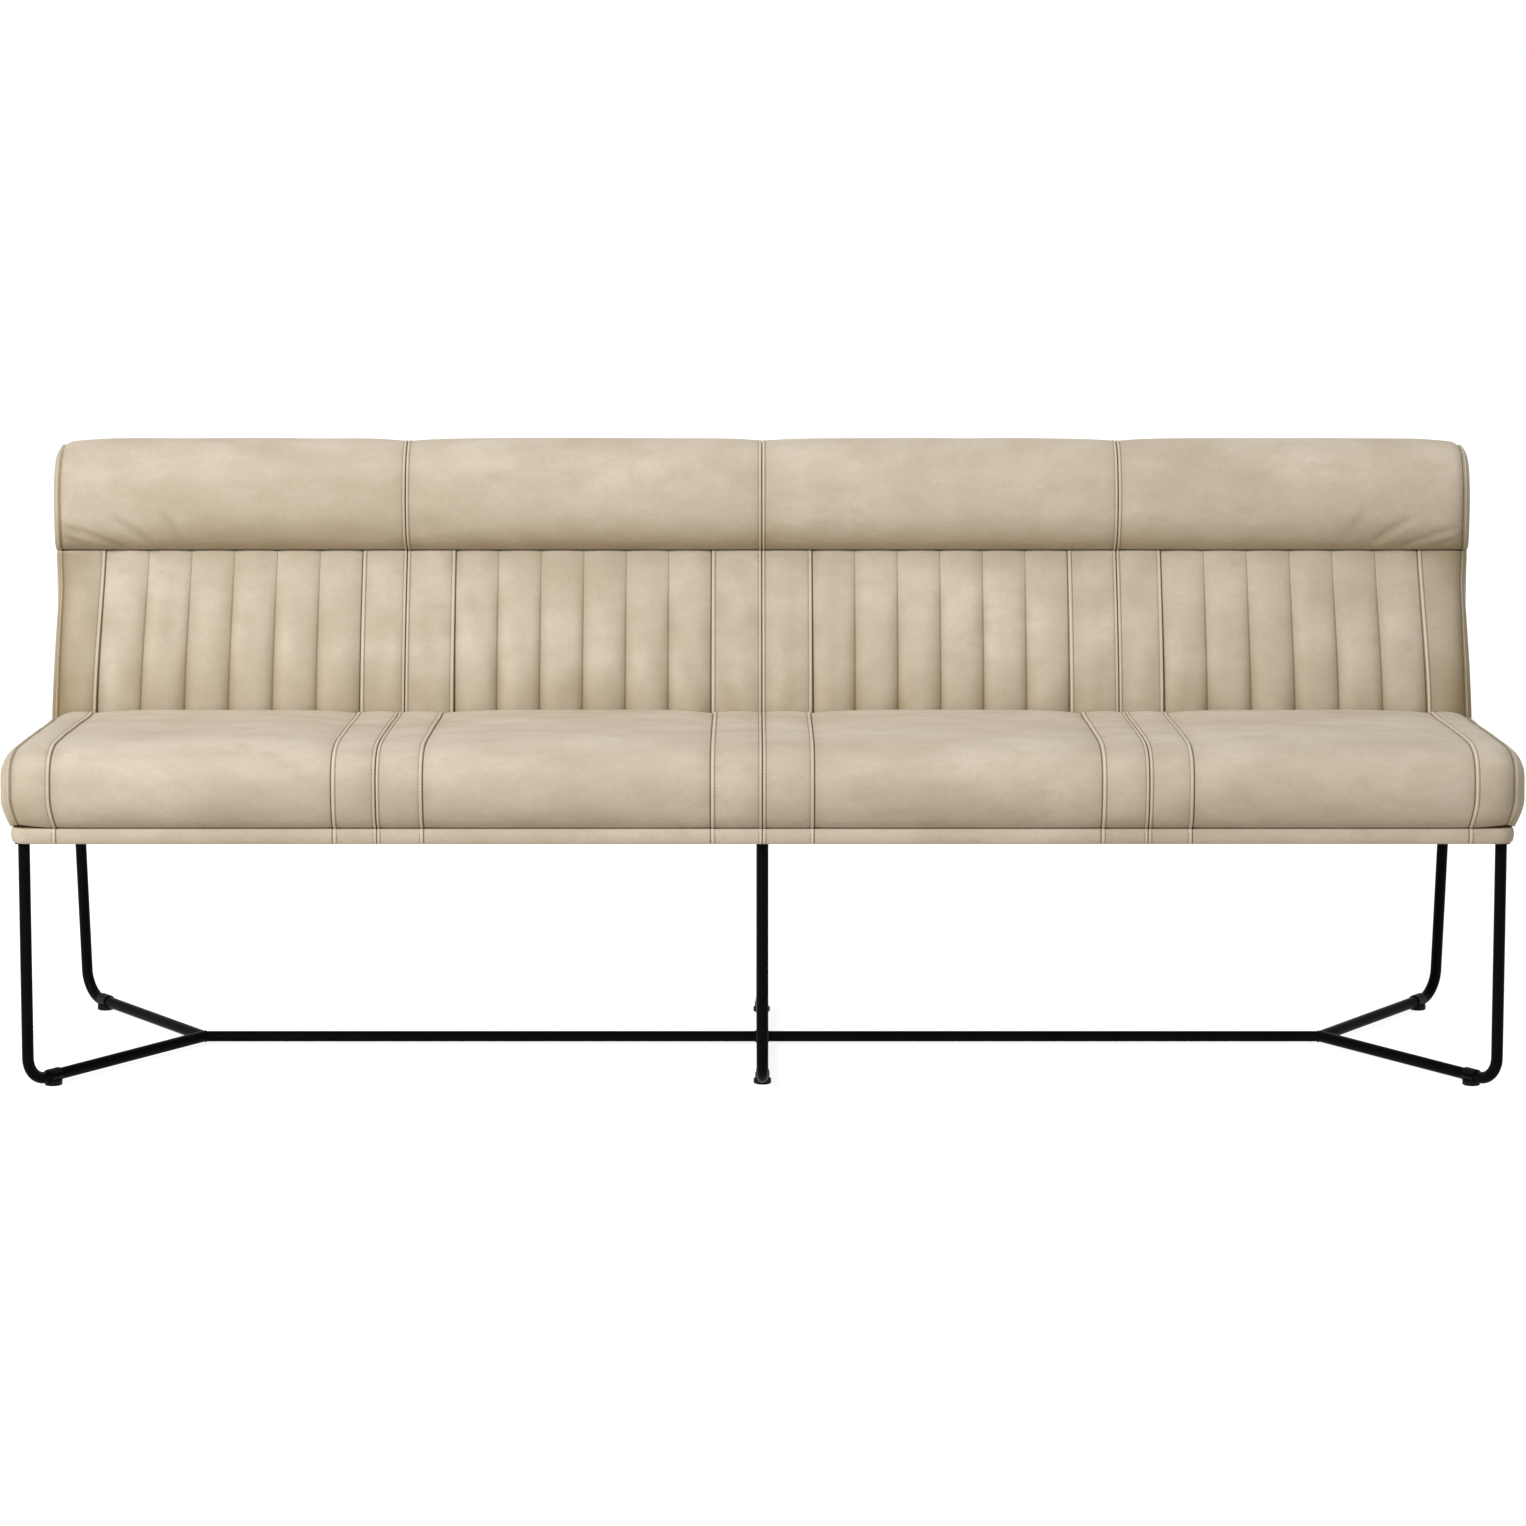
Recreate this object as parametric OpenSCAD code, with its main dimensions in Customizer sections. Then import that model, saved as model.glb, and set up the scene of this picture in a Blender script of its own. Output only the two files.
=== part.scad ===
// Dining sofa: an upholstered bench with four seats on three bent-tube leg frames.
// Millimetres. +X runs along the sofa, -Y is the front, +Z is up, and Z = 0 is the floor.

/* [Overall] */
// Width over the ends of the seat
sofa_w = 2200; // [1900:10:2500]
// Depth from the front of the seat to the rear edge of the backrest
sofa_d = 658; // [630:2:700]
// Height of the wooden deck that carries the seat and the back
deck_z = 392.5; // [340:0.5:430]

/* [Seat] */
// Height of the seat pad's crest above the deck
pad_h = 120.5; // [108:0.5:140]
// Height of the seat pad above the deck where it meets the back
pad_rear_h = 108; // [96:0.5:114]
// Distance from the front of the pad to its crest
pad_crest_d = 90; // [75:1:110]
// How far the pad bulges in front of the front legs' axis
pad_overhang = 50; // [44:1:56]
// Width of an inner seat section from seam to seam
seat_section_w = 557; // [440:1:620]
// Width of the narrow strip beside each section seam
strip_w = 70; // [50:1:90]
// How much a seat panel swells between its seams
pad_swell = 5; // [2:0.5:8]
// Rounding at the two ends of the seat
pad_end_r = 45; // [34:1:50]

/* [Back] */
// Lean of the backrest from upright, in degrees
back_rake = 8; // [4:0.5:12]
// Length of the backrest from the deck to its crest
back_h = 506; // [490:1:540]
// Rise of the head roll's crest above the flat outer back panel
roll_crown = 28; // [20:1:34]
// Height of the groove between the channelled panel and the head roll
groove_h = 335; // [310:1:350]
// Thickness at the foot of the backrest
foot_t = 153; // [146:1:158]
// Thickness at the groove
groove_t = 97; // [90:1:104]
// Thickness of the head roll
roll_t = 150; // [135:1:156]
// Distance by which each outer seam of the back sits nearer the middle than the seat's
back_seam_step = 8; // [0:1:20]
// Distance from the end of the seat to the end of the backrest
back_inset = 7; // [3:0.5:12]
// Rounding at the two ends of the backrest
back_end_r = 26; // [18:1:30]
// Channels in each channelled panel
channels = 6; // [4:1:8]
// How far a channel stands proud of its stitch lines
channel_swell = 8; // [4:0.5:10]
// How much a head roll swells between its seams
roll_swell = 5; // [2:0.5:8]

/* [Upholstery layers] */
// Thickness of a cover with its fibre wrap
cover_t = 12; // [11:0.5:14]
// Thickness of the padding at the two ends
end_pad_t = 42; // [36:1:50]
// Thickness of the felt over the seat straps
felt_t = 3; // [2:0.5:5]
// Thickness of a webbing strap
strap_t = 1.5; // [1:0.25:2.5]
// Width of a webbing strap
strap_w = 60; // [45:1:70]
// Thickness of the border cover round the deck
border_t = 5; // [4:0.5:7]
// Height of the border round the deck
border_h = 22.5; // [21.5:0.5:26]
// Corner radius of the border
border_r = 26; // [18:1:32]
// Thickness of the dust cloth under the deck
dust_t = 1; // [0.5:0.25:1.5]
// Thickness of the outer back cover
outer_t = 1.5; // [1:0.25:3]
// Thickness of the hardboard behind the back
board_t = 3; // [2:0.5:5]

/* [Wooden frame] */
// Thickness of the deck rails
rail_t = 20; // [18:0.5:20]
// Width of the front, side and cross rails
rail_w = 80; // [68:1:100]
// Width of the rear rail, which carries the back
rear_rail_w = 198; // [185:1:215]
// Thickness of the back posts
post_t = 22; // [18:1:26]
// Width of the back posts
post_w = 45; // [36:1:55]
// Distance from the top edge of the outer back panel down to the ends of the back posts
post_drop = 23; // [16:1:33]
// Thickness of the back rails
slat_t = 18; // [15:1:20]
// Width of the back rails
slat_w = 45; // [36:1:50]

/* [Leg frames] */
// Outer diameter of the leg tube
tube_d = 17.2; // [16.6:0.1:20]
// Wall of the steel tubes
tube_wall = 2; // [1.5:0.1:3]
// Outer diameter of the stretcher tube
stretcher_d = 16; // [13:0.1:16.2]
// Bend radius of the tube's axis
bend_r = 36; // [30:1:44]
// Distance from the end of the sofa to the axis of the outer legs
leg_inset = 29; // [26:0.5:34]
// Distance from the rear edge of the backrest forwards to the leg frames' rear corners
rear_corner_inset = 13; // [11:1:48]
// Lean of the rear legs from upright, in degrees
leg_rake = 12; // [8:0.5:13]
// How far the floor runners reach inwards to the stretcher
runner_reach = 219; // [180:1:260]
// Width of the flat mounting bars
bar_w = 22; // [20:0.5:26]
// Thickness of the flat mounting bars
bar_t = 4; // [3:0.5:5]

/* [Feet and fasteners] */
// Diameter of a floor glide
glide_d = 26; // [22:0.5:30]
// Height of a floor glide below the tube
glide_h = 5; // [4:0.5:8]
// Length of a glide's clip along the tube
clip_len = 22; // [18:1:26]
// Wall of a glide's clip
clip_wall = 2; // [1.5:0.25:3]
// Shank diameter of the mounting bolts
bolt_d = 6; // [5:0.5:7]
// Head diameter of the mounting bolts
bolt_head_d = 11; // [10:0.5:13]
// Outer diameter of the threaded inserts
insert_d = 9; // [8.5:0.5:11]
// Length of the threaded inserts
insert_len = 13; // [10:0.5:15]
// Thickness of the back brackets
bracket_t = 4; // [3:0.5:5]
// Width of the back brackets
bracket_w = 30; // [26:1:40]
// Length of each arm of a back bracket
bracket_len = 46; // [40:1:50]
// Shank diameter of the wood screws
screw_d = 4.5; // [4:0.25:5]
// Length of the wood screws
screw_len = 17; // [14:0.5:19]

/* [Hidden] */

leather = "tan";
steel = "black";
timber = "burlywood";
foam = "ivory";
webbing = "dimgray";

half_w = sofa_w / 2;
back_half_w = half_w - back_inset;
overrun = 1;
soft_gap = 0.3;
bore_gap = 0.25;
round_fn = 32;

// Places across the sofa
leg_x = half_w - leg_inset;
apex_x = leg_x - runner_reach;
core_half_w = half_w - end_pad_t;
border_inset = 11;
border_half_w = half_w - border_inset;
frame_half_w = border_half_w - border_t;

back_section_w = seat_section_w - back_seam_step;

// Places from front to back
front_y = -sofa_d / 2;
leg_y = front_y + pad_overhang;
border_lip = 22;
border_front_y = front_y + border_lip;
frame_front_y = border_front_y + border_t;
rear_corner_y = sofa_d / 2 - rear_corner_inset;
base_d = rear_corner_y - leg_y;
apex_y = leg_y + base_d / 2;

// Heights
tube_r = tube_d / 2;
runner_z = glide_h + tube_r;
border_z = deck_z - border_h;
rail_z = deck_z - rail_t;
bar_top_z = rail_z - dust_t;
bar_z = bar_top_z - bar_t;
rear_top_y = rear_corner_y - (bar_z - runner_z) * tan(leg_rake);
bar_end = 12;

// The back's own frame: t is measured forwards from its rear face, h up along it
panel_h = back_h - roll_crown;
back_foot_y = sofa_d / 2 - panel_h * sin(back_rake);
frame_rear_y = back_foot_y;
border_rear_y = frame_rear_y + border_t;
shell_t = outer_t + board_t;
post_front_t = shell_t + post_t;
slat_front_t = post_front_t + slat_t;
foam_rear_t = slat_front_t + strap_t;
post_h = panel_h - post_drop;

function back_point(t, h) = [back_foot_y + h * sin(back_rake) - t * cos(back_rake),
                             deck_z + h * cos(back_rake) + t * sin(back_rake)];
function deck_h(t, lift = 0) = (lift - t * sin(back_rake)) / cos(back_rake);
function face_y(t, z) = back_foot_y + (z - deck_z) * tan(back_rake) - t / cos(back_rake);

// Vectors, outlines and lofts
function unit(v) = v / norm(v);
function turned(v, side) = side * [-v[1], v[0]];
function outward(points, i, side) = turned(unit(points[i + 1] - points[i - 1]), side);

module loft(rings) {
    count = len(rings[0]);
    last = len(rings) - 1;
    first_mid = count * len(rings);
    points = concat([for (ring = rings) for (p = ring) p],
        [for (ring = [rings[0], rings[last]]) [for (p = ring) 1] * ring / count]);
    sides = [for (i = [0:last - 1], j = [0:count - 1]) let (k = (j + 1) % count)
        each [[i * count + j, i * count + k, (i + 1) * count + k],
              [i * count + j, (i + 1) * count + k, (i + 1) * count + j]]];
    ends = [for (j = [0:count - 1]) let (k = (j + 1) % count)
        each [[first_mid, k, j], [first_mid + 1, last * count + j, last * count + k]]];
    polyhedron(points, concat(sides, ends));
}

module along_x(x0, x1) {
    translate([x0, 0, 0]) rotate([90, 0, 90]) linear_extrude(x1 - x0) children();
}

module box(x0, x1, y0, y1, z0, z1) {
    translate([x0, y0, z0]) cube([x1 - x0, y1 - y0, z1 - z0]);
}

module back_slab(x0, x1, t0, t1, h0, h1) {
    along_x(x0, x1) polygon([back_point(t0, h0), back_point(t1, h0), back_point(t1, h1),
        back_point(t0, h1)]);
}

module rod(from, to, radius) {
    way = to - from;
    translate(from) rotate([0, acos(way[2] / norm(way)), atan2(way[1], way[0])])
        cylinder(h = norm(way), r = radius, $fn = round_fn);
}

// Stations across a panel: each is a place in X and how far the surface is drawn in there
function stations(x0, x1, draw, power, shares) =
    [for (u = shares) [x0 + (x1 - x0) * u, draw * pow(abs(2 * u - 1), power), 0]];
strip_shares = [0, 0.5];
field_shares = [0, 0.06, 0.2, 0.5, 0.8, 0.94];
channel_shares = [0, 0.2, 0.5, 0.8];
roll_shares = [0, 0.04, 0.12, 0.3, 0.5, 0.7, 0.88, 0.96];
field_power = 6;
strip_power = 2;
channel_power = 2;
end_angles = [0, 25, 45, 62, 75, 84];
function end_stations(x, radius) =
    [for (a = end_angles) [x - radius * (1 - sin(a)), radius * (1 - cos(a)), 0]];

// Seat pad: its outline in Y and Z, from the seam on the deck over the front to the back
pad_front_shares = [[0.29, 0], [0.16, 0.08], [0.07, 0.2], [0.017, 0.35], [0, 0.5], [0.017, 0.64],
    [0.08, 0.775], [0.2, 0.88], [0.4, 0.95], [0.66, 0.99], [1, 1]];
pad_top_shares = [[0.17, 0.1], [0.39, 0.34], [0.64, 0.64]];
pad_face_t = foot_t + soft_gap;
function pad_top_y(share) = front_y + pad_crest_d
    + share * (face_y(pad_face_t, deck_z + pad_rear_h) - front_y - pad_crest_d);
pad_outline = concat(
    [for (s = pad_front_shares) [front_y + s[0] * pad_crest_d, deck_z + s[1] * pad_h]],
    [for (s = pad_top_shares) [pad_top_y(s[0]), deck_z + pad_h - s[1] * (pad_h - pad_rear_h)]],
    [[pad_top_y(1), deck_z + pad_rear_h]]);
pad_last = len(pad_outline) - 1;
end_lift_share = 0.38;
function pad_lift(x) = end_lift_share * pad_h
    * (1 - sqrt(1 - pow(max(0, x - border_half_w) / border_inset, 2)));
function pad_normal(i) = i == 0 ? [-1, 0] : outward(pad_outline, i, 1);
function pad_ring(drawn, base_z, rear_t) = let (top_z = deck_z + pad_rear_h - drawn) concat(
    [for (i = [0:pad_last - 1]) let (p = pad_outline[i] - drawn * pad_normal(i))
        [p[0], i == 0 ? base_z : max(p[1], base_z)]],
    [[face_y(rear_t, top_z), top_z], [face_y(rear_t, base_z), base_z]]);
function seat_rings(list) = [for (s = list) [for (p = pad_ring(s[1], deck_z + s[2], pad_face_t))
    [s[0], p[0], p[1]]]];

module seat_cavity(x0, x1) {
    along_x(x0, x1) polygon(pad_ring(cover_t - soft_gap, deck_z - overrun, pad_face_t - overrun));
}

module inner_seat_cover() {
    seam_x = seat_section_w;
    difference() {
        loft(seat_rings(concat(
            stations(0, strip_w, pad_swell, strip_power, strip_shares),
            stations(strip_w, seam_x - strip_w, pad_swell, field_power, field_shares),
            stations(seam_x - strip_w, seam_x, pad_swell, strip_power, concat(strip_shares, [1])))));
        seat_cavity(-overrun, seam_x + overrun);
    }
}

module end_seat_cover() {
    seam_x = seat_section_w;
    end_x = half_w - strip_w;
    rounding = [for (s = end_stations(half_w, pad_end_r)) [s[0], s[1], pad_lift(s[0])]];
    difference() {
        loft(seat_rings(concat(
            stations(seam_x, seam_x + strip_w, pad_swell, strip_power, strip_shares),
            stations(seam_x + strip_w, end_x, pad_swell, field_power, concat(field_shares, [1])),
            rounding)));
        seat_cavity(seam_x - overrun, core_half_w);
    }
}

// Channelled back panel: its outline in t and h, from the deck up to the groove
lumbar_shares = [[0, 0.2], [0, 0.29], [0.07, 0.42], [0.22, 0.56], [0.43, 0.7], [0.66, 0.83],
    [0.87, 0.94]];
lumbar_outline = concat(
    [[foot_t, deck_h(foot_t)]],
    [for (s = lumbar_shares) [foot_t - s[0] * (foot_t - groove_t), s[1] * groove_h]],
    [[groove_t, groove_h - soft_gap / 2]]);
lumbar_last = len(lumbar_outline) - 1;
function lumbar_normal(i) = i == 0 || i == lumbar_last ? [1, 0] : outward(lumbar_outline, i, -1);
function lumbar_ring(drawn, rear_t, base_h, rise) = concat(
    [for (i = [0:lumbar_last]) let (p = lumbar_outline[i] - drawn * lumbar_normal(i))
        [p[0], i == 0 ? deck_h(p[0], base_h) : i == lumbar_last ? p[1] + rise : p[1]]],
    [[rear_t, groove_h - soft_gap / 2 + rise], [rear_t, deck_h(rear_t, base_h)]]);
function back_rings(list, rings) = [for (i = [0:len(list) - 1]) [for (p = rings[i])
    let (q = back_point(p[0], p[1])) [list[i][0], q[0], q[1]]]];
function lumbar_rings(list) = back_rings(list, [for (s = list) lumbar_ring(s[1], shell_t, 0, 0)]);
function back_polygon(ring) = [for (p = ring) back_point(p[0], p[1])];

module lumbar_cavity(x0, x1) {
    along_x(x0, x1)
        polygon(back_polygon(lumbar_ring(cover_t - soft_gap, shell_t - overrun, -overrun, overrun)));
}

function channel_stations(x0, x1) = [for (c = [0:channels - 1])
    each stations(x0 + (x1 - x0) * c / channels, x0 + (x1 - x0) * (c + 1) / channels,
        channel_swell, channel_power, c == channels - 1 ? concat(channel_shares, [1])
        : channel_shares)];

module inner_back_cover() {
    seam_x = back_section_w;
    difference() {
        loft(lumbar_rings(concat(
            stations(0, strip_w, channel_swell, strip_power, strip_shares),
            channel_stations(strip_w, seam_x - strip_w),
            [[seam_x - strip_w / 2, 0, 0], [seam_x, channel_swell, 0]])));
        lumbar_cavity(-overrun, seam_x + overrun);
    }
}

module end_back_cover() {
    seam_x = back_section_w;
    end_x = back_half_w - strip_w;
    difference() {
        loft(lumbar_rings(concat(
            stations(seam_x, seam_x + strip_w, channel_swell, strip_power, strip_shares),
            channel_stations(seam_x + strip_w, end_x),
            end_stations(back_half_w, back_end_r))));
        lumbar_cavity(seam_x - overrun, core_half_w);
    }
}

// Head roll: its outline in t and h, from the groove over the crest to the rear face
roll_outline_shares = [[0.8, 0.045], [0.915, 0.16], [0.985, 0.34], [1, 0.52], [0.975, 0.69],
    [0.89, 0.85], [0.74, 0.96], [0.56, 1], [0.33, 0.975], [0.12, 0.91]];
roll_outline = concat(
    [[groove_t, groove_h + soft_gap / 2]],
    [for (s = roll_outline_shares) [s[0] * roll_t, groove_h + s[1] * (back_h - groove_h)]],
    [[0, panel_h]]);
roll_last = len(roll_outline) - 1;
function roll_normal(i) = i == 0 ? [1, 0] : i == roll_last ? [0, 1] : outward(roll_outline, i, -1);
function roll_ring(drawn, drop) = concat(
    [for (i = [0:roll_last]) roll_outline[i] - drawn * roll_normal(i) - (i == 0 ? [0, drop] : [0, 0])],
    [[0, groove_h + soft_gap / 2 - drop]]);
function roll_rings(list) = back_rings(list, [for (s = list) roll_ring(s[1], 0)]);

module roll_cavity(x0, x1) {
    along_x(x0, x1) polygon(back_polygon(roll_ring(cover_t - soft_gap, overrun)));
}

// The flat outer panel behind the whole back, with rounded top corners
panel_corner_steps = 8;
module rear_panel(t0, t1, margin) {
    panel_x = back_half_w - outer_t + margin;
    top_h = panel_h + margin;
    corner_r = back_end_r + margin;
    base_h = deck_h(t0) - margin;
    corner = [for (k = [0:panel_corner_steps]) let (a = 90 * k / panel_corner_steps)
        [panel_x - corner_r * (1 - cos(a)), top_h - corner_r * (1 - sin(a))]];
    translate([0, back_foot_y, deck_z]) rotate([90 - back_rake, 0, 0]) translate([0, 0, t0])
        linear_extrude(t1 - t0) polygon(concat([[panel_x, base_h]], corner,
            [for (k = [0:panel_corner_steps]) let (p = corner[panel_corner_steps - k])
                [-p[0], p[1]]],
            [[-panel_x, base_h]]));
}

module inner_head_roll() {
    difference() {
        loft(roll_rings(concat(stations(0, back_section_w, roll_swell, field_power, roll_shares),
            [[back_section_w, roll_swell, 0]])));
        roll_cavity(-overrun, back_section_w + overrun);
        rear_panel(-overrun, shell_t, 0);
    }
}

module end_head_roll() {
    end_x = back_half_w - back_end_r;
    difference() {
        loft(roll_rings(concat(
            [for (s = stations(back_section_w, end_x, roll_swell, field_power, roll_shares))
                [s[0], s[0] > (back_section_w + end_x) / 2 ? 0 : s[1], 0]],
            end_stations(back_half_w, back_end_r))));
        roll_cavity(back_section_w - overrun, core_half_w);
        rear_panel(-overrun, shell_t, 0);
    }
}

module seat_cover_1() { color(leather) mirror([1, 0, 0]) end_seat_cover(); }
module seat_cover_2() { color(leather) mirror([1, 0, 0]) inner_seat_cover(); }
module seat_cover_3() { color(leather) inner_seat_cover(); }
module seat_cover_4() { color(leather) end_seat_cover(); }
module back_cover_1() { color(leather) mirror([1, 0, 0]) end_back_cover(); }
module back_cover_2() { color(leather) mirror([1, 0, 0]) inner_back_cover(); }
module back_cover_3() { color(leather) inner_back_cover(); }
module back_cover_4() { color(leather) end_back_cover(); }
module head_roll_1() { color(leather) mirror([1, 0, 0]) end_head_roll(); }
module head_roll_2() { color(leather) mirror([1, 0, 0]) inner_head_roll(); }
module head_roll_3() { color(leather) inner_head_roll(); }
module head_roll_4() { color(leather) end_head_roll(); }

// Foam under the covers, and what lies between it and the deck
module seat_foam() {
    color(foam) along_x(-core_half_w + soft_gap, core_half_w - soft_gap)
        polygon(pad_ring(cover_t, deck_z + strap_t + felt_t, pad_face_t));
}

module seat_felt() {
    felt_y = pad_outline[0][0] + cover_t;
    felt_z = deck_z + strap_t;
    color("gray") box(-core_half_w + soft_gap, core_half_w - soft_gap, felt_y,
        face_y(pad_face_t, deck_z), felt_z, felt_z + felt_t);
}

module lumbar_foam() {
    color(foam) along_x(-core_half_w + soft_gap, core_half_w - soft_gap)
        polygon(back_polygon(lumbar_ring(cover_t, foam_rear_t, foam_lift, 0)));
}

module head_roll_foam() {
    x = core_half_w - soft_gap;
    color(foam) difference() {
        along_x(-x, x) polygon(back_polygon(roll_ring(cover_t, 0)));
        back_slab(-half_w, half_w, -overrun, foam_rear_t, 0, post_h + soft_gap);
        back_slab(-half_w, half_w, -overrun, shell_t, 0, panel_h + soft_gap);
    }
}

// Webbing straps, shared out over the bays between the rails that carry them
strap_bays = [[-frame_half_w + rail_w, -seat_section_w - rail_w / 2],
    [-seat_section_w + rail_w / 2, -rail_w / 2], [rail_w / 2, seat_section_w - rail_w / 2],
    [seat_section_w + rail_w / 2, frame_half_w - rail_w]];
straps_per_bay = 5;
strap_lap = 25;
function strap_x(bay, i) = bay[0] + (bay[1] - bay[0]) * (i + 1 / 2) / straps_per_bay;

module seat_webbing() {
    strap_y0 = pad_outline[0][0] + cover_t;
    strap_y1 = back_foot_y - rear_rail_w + strap_lap;
    color(webbing) for (bay = strap_bays, i = [0:straps_per_bay - 1])
        box(strap_x(bay, i) - strap_w / 2, strap_x(bay, i) + strap_w / 2, strap_y0, strap_y1,
            deck_z, deck_z + strap_t);
}

module back_webbing() {
    color(webbing) for (bay = strap_bays, i = [0:straps_per_bay - 1])
        back_slab(strap_x(bay, i) - strap_w / 2, strap_x(bay, i) + strap_w / 2,
            slat_front_t, foam_rear_t, low_slat_h, post_h);
}

// Deck: the outline that its rails and the border share
module deck_outline(inset) {
    r = border_r - inset;
    x = border_half_w - inset;
    y0 = border_front_y + inset;
    y1 = border_rear_y - inset;
    translate([r - x, y0]) square([2 * (x - r), y1 - y0]);
    translate([-x, y0 + r]) square([2 * x, y1 - y0 - 2 * r]);
    for (side = [-1, 1], y = [y0 + r, y1 - r])
        translate([side * (x - r), y]) circle(r, $fn = round_fn);
}

module zone(x0, x1, y0, y1) { translate([x0, y0]) square([x1 - x0, y1 - y0]); }

// Places of the four bolts along a mounting bar, as shares of the way between its legs
bolt_shares = [0.07, 0.36, 0.6, 0.91];
bolt_ys = [for (s = bolt_shares) leg_y + s * (rear_top_y - leg_y)];
bolt_head_h = 3.4;
screw_head_h = 2;
screw_head_share = 2;
leg_xs = [-leg_x, 0, leg_x];

module at_bolts() {
    for (x = leg_xs, y = bolt_ys) translate([x, y, 0]) children();
}

module insert_holes() {
    at_bolts() translate([0, 0, rail_z - overrun])
        cylinder(h = insert_len + overrun, d = insert_d, $fn = round_fn);
}

module deck_rail(x0, x1, y0, y1) {
    color(timber) difference() {
        translate([0, 0, rail_z]) linear_extrude(rail_t) intersection() {
            deck_outline(border_t);
            zone(x0, x1, y0, y1);
        }
        insert_holes();
        bracket_screw_shanks();
    }
}

front_rail_y1 = frame_front_y + rail_w;
rear_rail_y0 = back_foot_y - rear_rail_w;
module seat_front_rail() { deck_rail(-half_w, half_w, frame_front_y, front_rail_y1); }
module seat_rear_rail() { deck_rail(-half_w, half_w, rear_rail_y0, frame_rear_y); }
module seat_left_rail() { deck_rail(-half_w, rail_w - frame_half_w, front_rail_y1, rear_rail_y0); }
module seat_right_rail() { deck_rail(frame_half_w - rail_w, half_w, front_rail_y1, rear_rail_y0); }
module seat_cross_rails() {
    for (x = [-seat_section_w, 0, seat_section_w])
        deck_rail(x - rail_w / 2, x + rail_w / 2, front_rail_y1, rear_rail_y0);
}

module threaded_inserts() {
    color("silver") at_bolts() translate([0, 0, rail_z]) difference() {
        cylinder(h = insert_len, d = insert_d, $fn = round_fn);
        translate([0, 0, -overrun])
            cylinder(h = insert_len + 2 * overrun, d = bolt_d + bore_gap, $fn = round_fn);
    }
}

module mounting_bolts() {
    color(steel) at_bolts() {
        translate([0, 0, bar_z - bolt_head_h])
            cylinder(h = bolt_head_h, d = bolt_head_d, $fn = round_fn);
        translate([0, 0, bar_z])
            cylinder(h = bar_t + dust_t + insert_len - overrun, d = bolt_d, $fn = round_fn);
    }
}

module dust_cover() {
    color("dimgray") difference() {
        translate([0, 0, bar_top_z]) linear_extrude(dust_t) deck_outline(border_t);
        at_bolts() translate([0, 0, bar_top_z - overrun])
            cylinder(h = dust_t + 2 * overrun, d = bolt_d + bore_gap, $fn = round_fn);
    }
}

// Border: four strips round the edge of the deck, joined just behind the corners
module border_strip(x0, x1, y0, y1) {
    color(leather) translate([0, 0, border_z]) linear_extrude(border_h) intersection() {
        difference() {
            deck_outline(0);
            deck_outline(border_t);
        }
        zone(x0, x1, y0, y1);
    }
}

border_corner_y0 = border_front_y + border_r;
border_corner_y1 = border_rear_y - border_r;
module front_border() { border_strip(-half_w, half_w, front_y, border_corner_y0); }
module rear_border() { border_strip(-half_w, half_w, border_corner_y1, border_rear_y); }
module left_border() { border_strip(-half_w, 0, border_corner_y0, border_corner_y1); }
module right_border() { border_strip(0, half_w, border_corner_y0, border_corner_y1); }

// Back frame: raked posts on the rear rail, with three rails across their front
post_end_x = core_half_w - soft_gap - post_w;
low_slat_h = bracket_len + screw_d;
high_slat_h = post_h - slat_w;
mid_slat_h = (low_slat_h + high_slat_h) / 2;
foam_lift = bracket_t + screw_head_h + soft_gap;

module back_post(x) {
    color(timber) difference() {
        along_x(x, x + post_w) polygon([back_point(shell_t, deck_h(shell_t)),
            back_point(post_front_t, deck_h(post_front_t)), back_point(post_front_t, post_h),
            back_point(shell_t, post_h)]);
        bracket_screw_shanks();
    }
}

module back_slat(h) {
    x = core_half_w - soft_gap;
    color(timber) back_slab(-x, x, post_front_t, slat_front_t, h, h + slat_w);
}

module back_left_post() { back_post(-post_end_x - post_w); }
module back_right_post() { back_post(post_end_x); }
module back_inner_posts() {
    for (x = [-back_section_w, 0, back_section_w]) back_post(x - post_w / 2);
}
module back_bottom_rail() { back_slat(low_slat_h); }
module back_middle_rail() { back_slat(mid_slat_h); }
module back_top_rail() { back_slat(high_slat_h); }

bracket_xs = [-post_end_x - post_w / 2, -back_section_w, 0, back_section_w,
    post_end_x + post_w / 2];
bracket_foot_y = face_y(post_front_t, deck_z);
screw_spread = bracket_w / 4;
screw_place = bracket_len / 2;

module at_foot_screws() {
    for (x = bracket_xs, side = [-1, 1])
        translate([x + side * screw_spread, bracket_foot_y - screw_place, deck_z + bracket_t])
            children();
}

module at_post_screws() {
    for (x = bracket_xs, side = [-1, 1]) translate([x + side * screw_spread, 0, 0])
        translate([0, back_point(post_front_t + bracket_t, screw_place)[0],
            back_point(post_front_t + bracket_t, screw_place)[1]])
            rotate([90 - back_rake, 0, 0]) children();
}

module bracket_screw_shanks(grow = 0) {
    at_foot_screws() translate([0, 0, -screw_len])
        cylinder(h = screw_len, d = screw_d + grow, $fn = round_fn);
    at_post_screws() translate([0, 0, -screw_len])
        cylinder(h = screw_len, d = screw_d + grow, $fn = round_fn);
}

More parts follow.
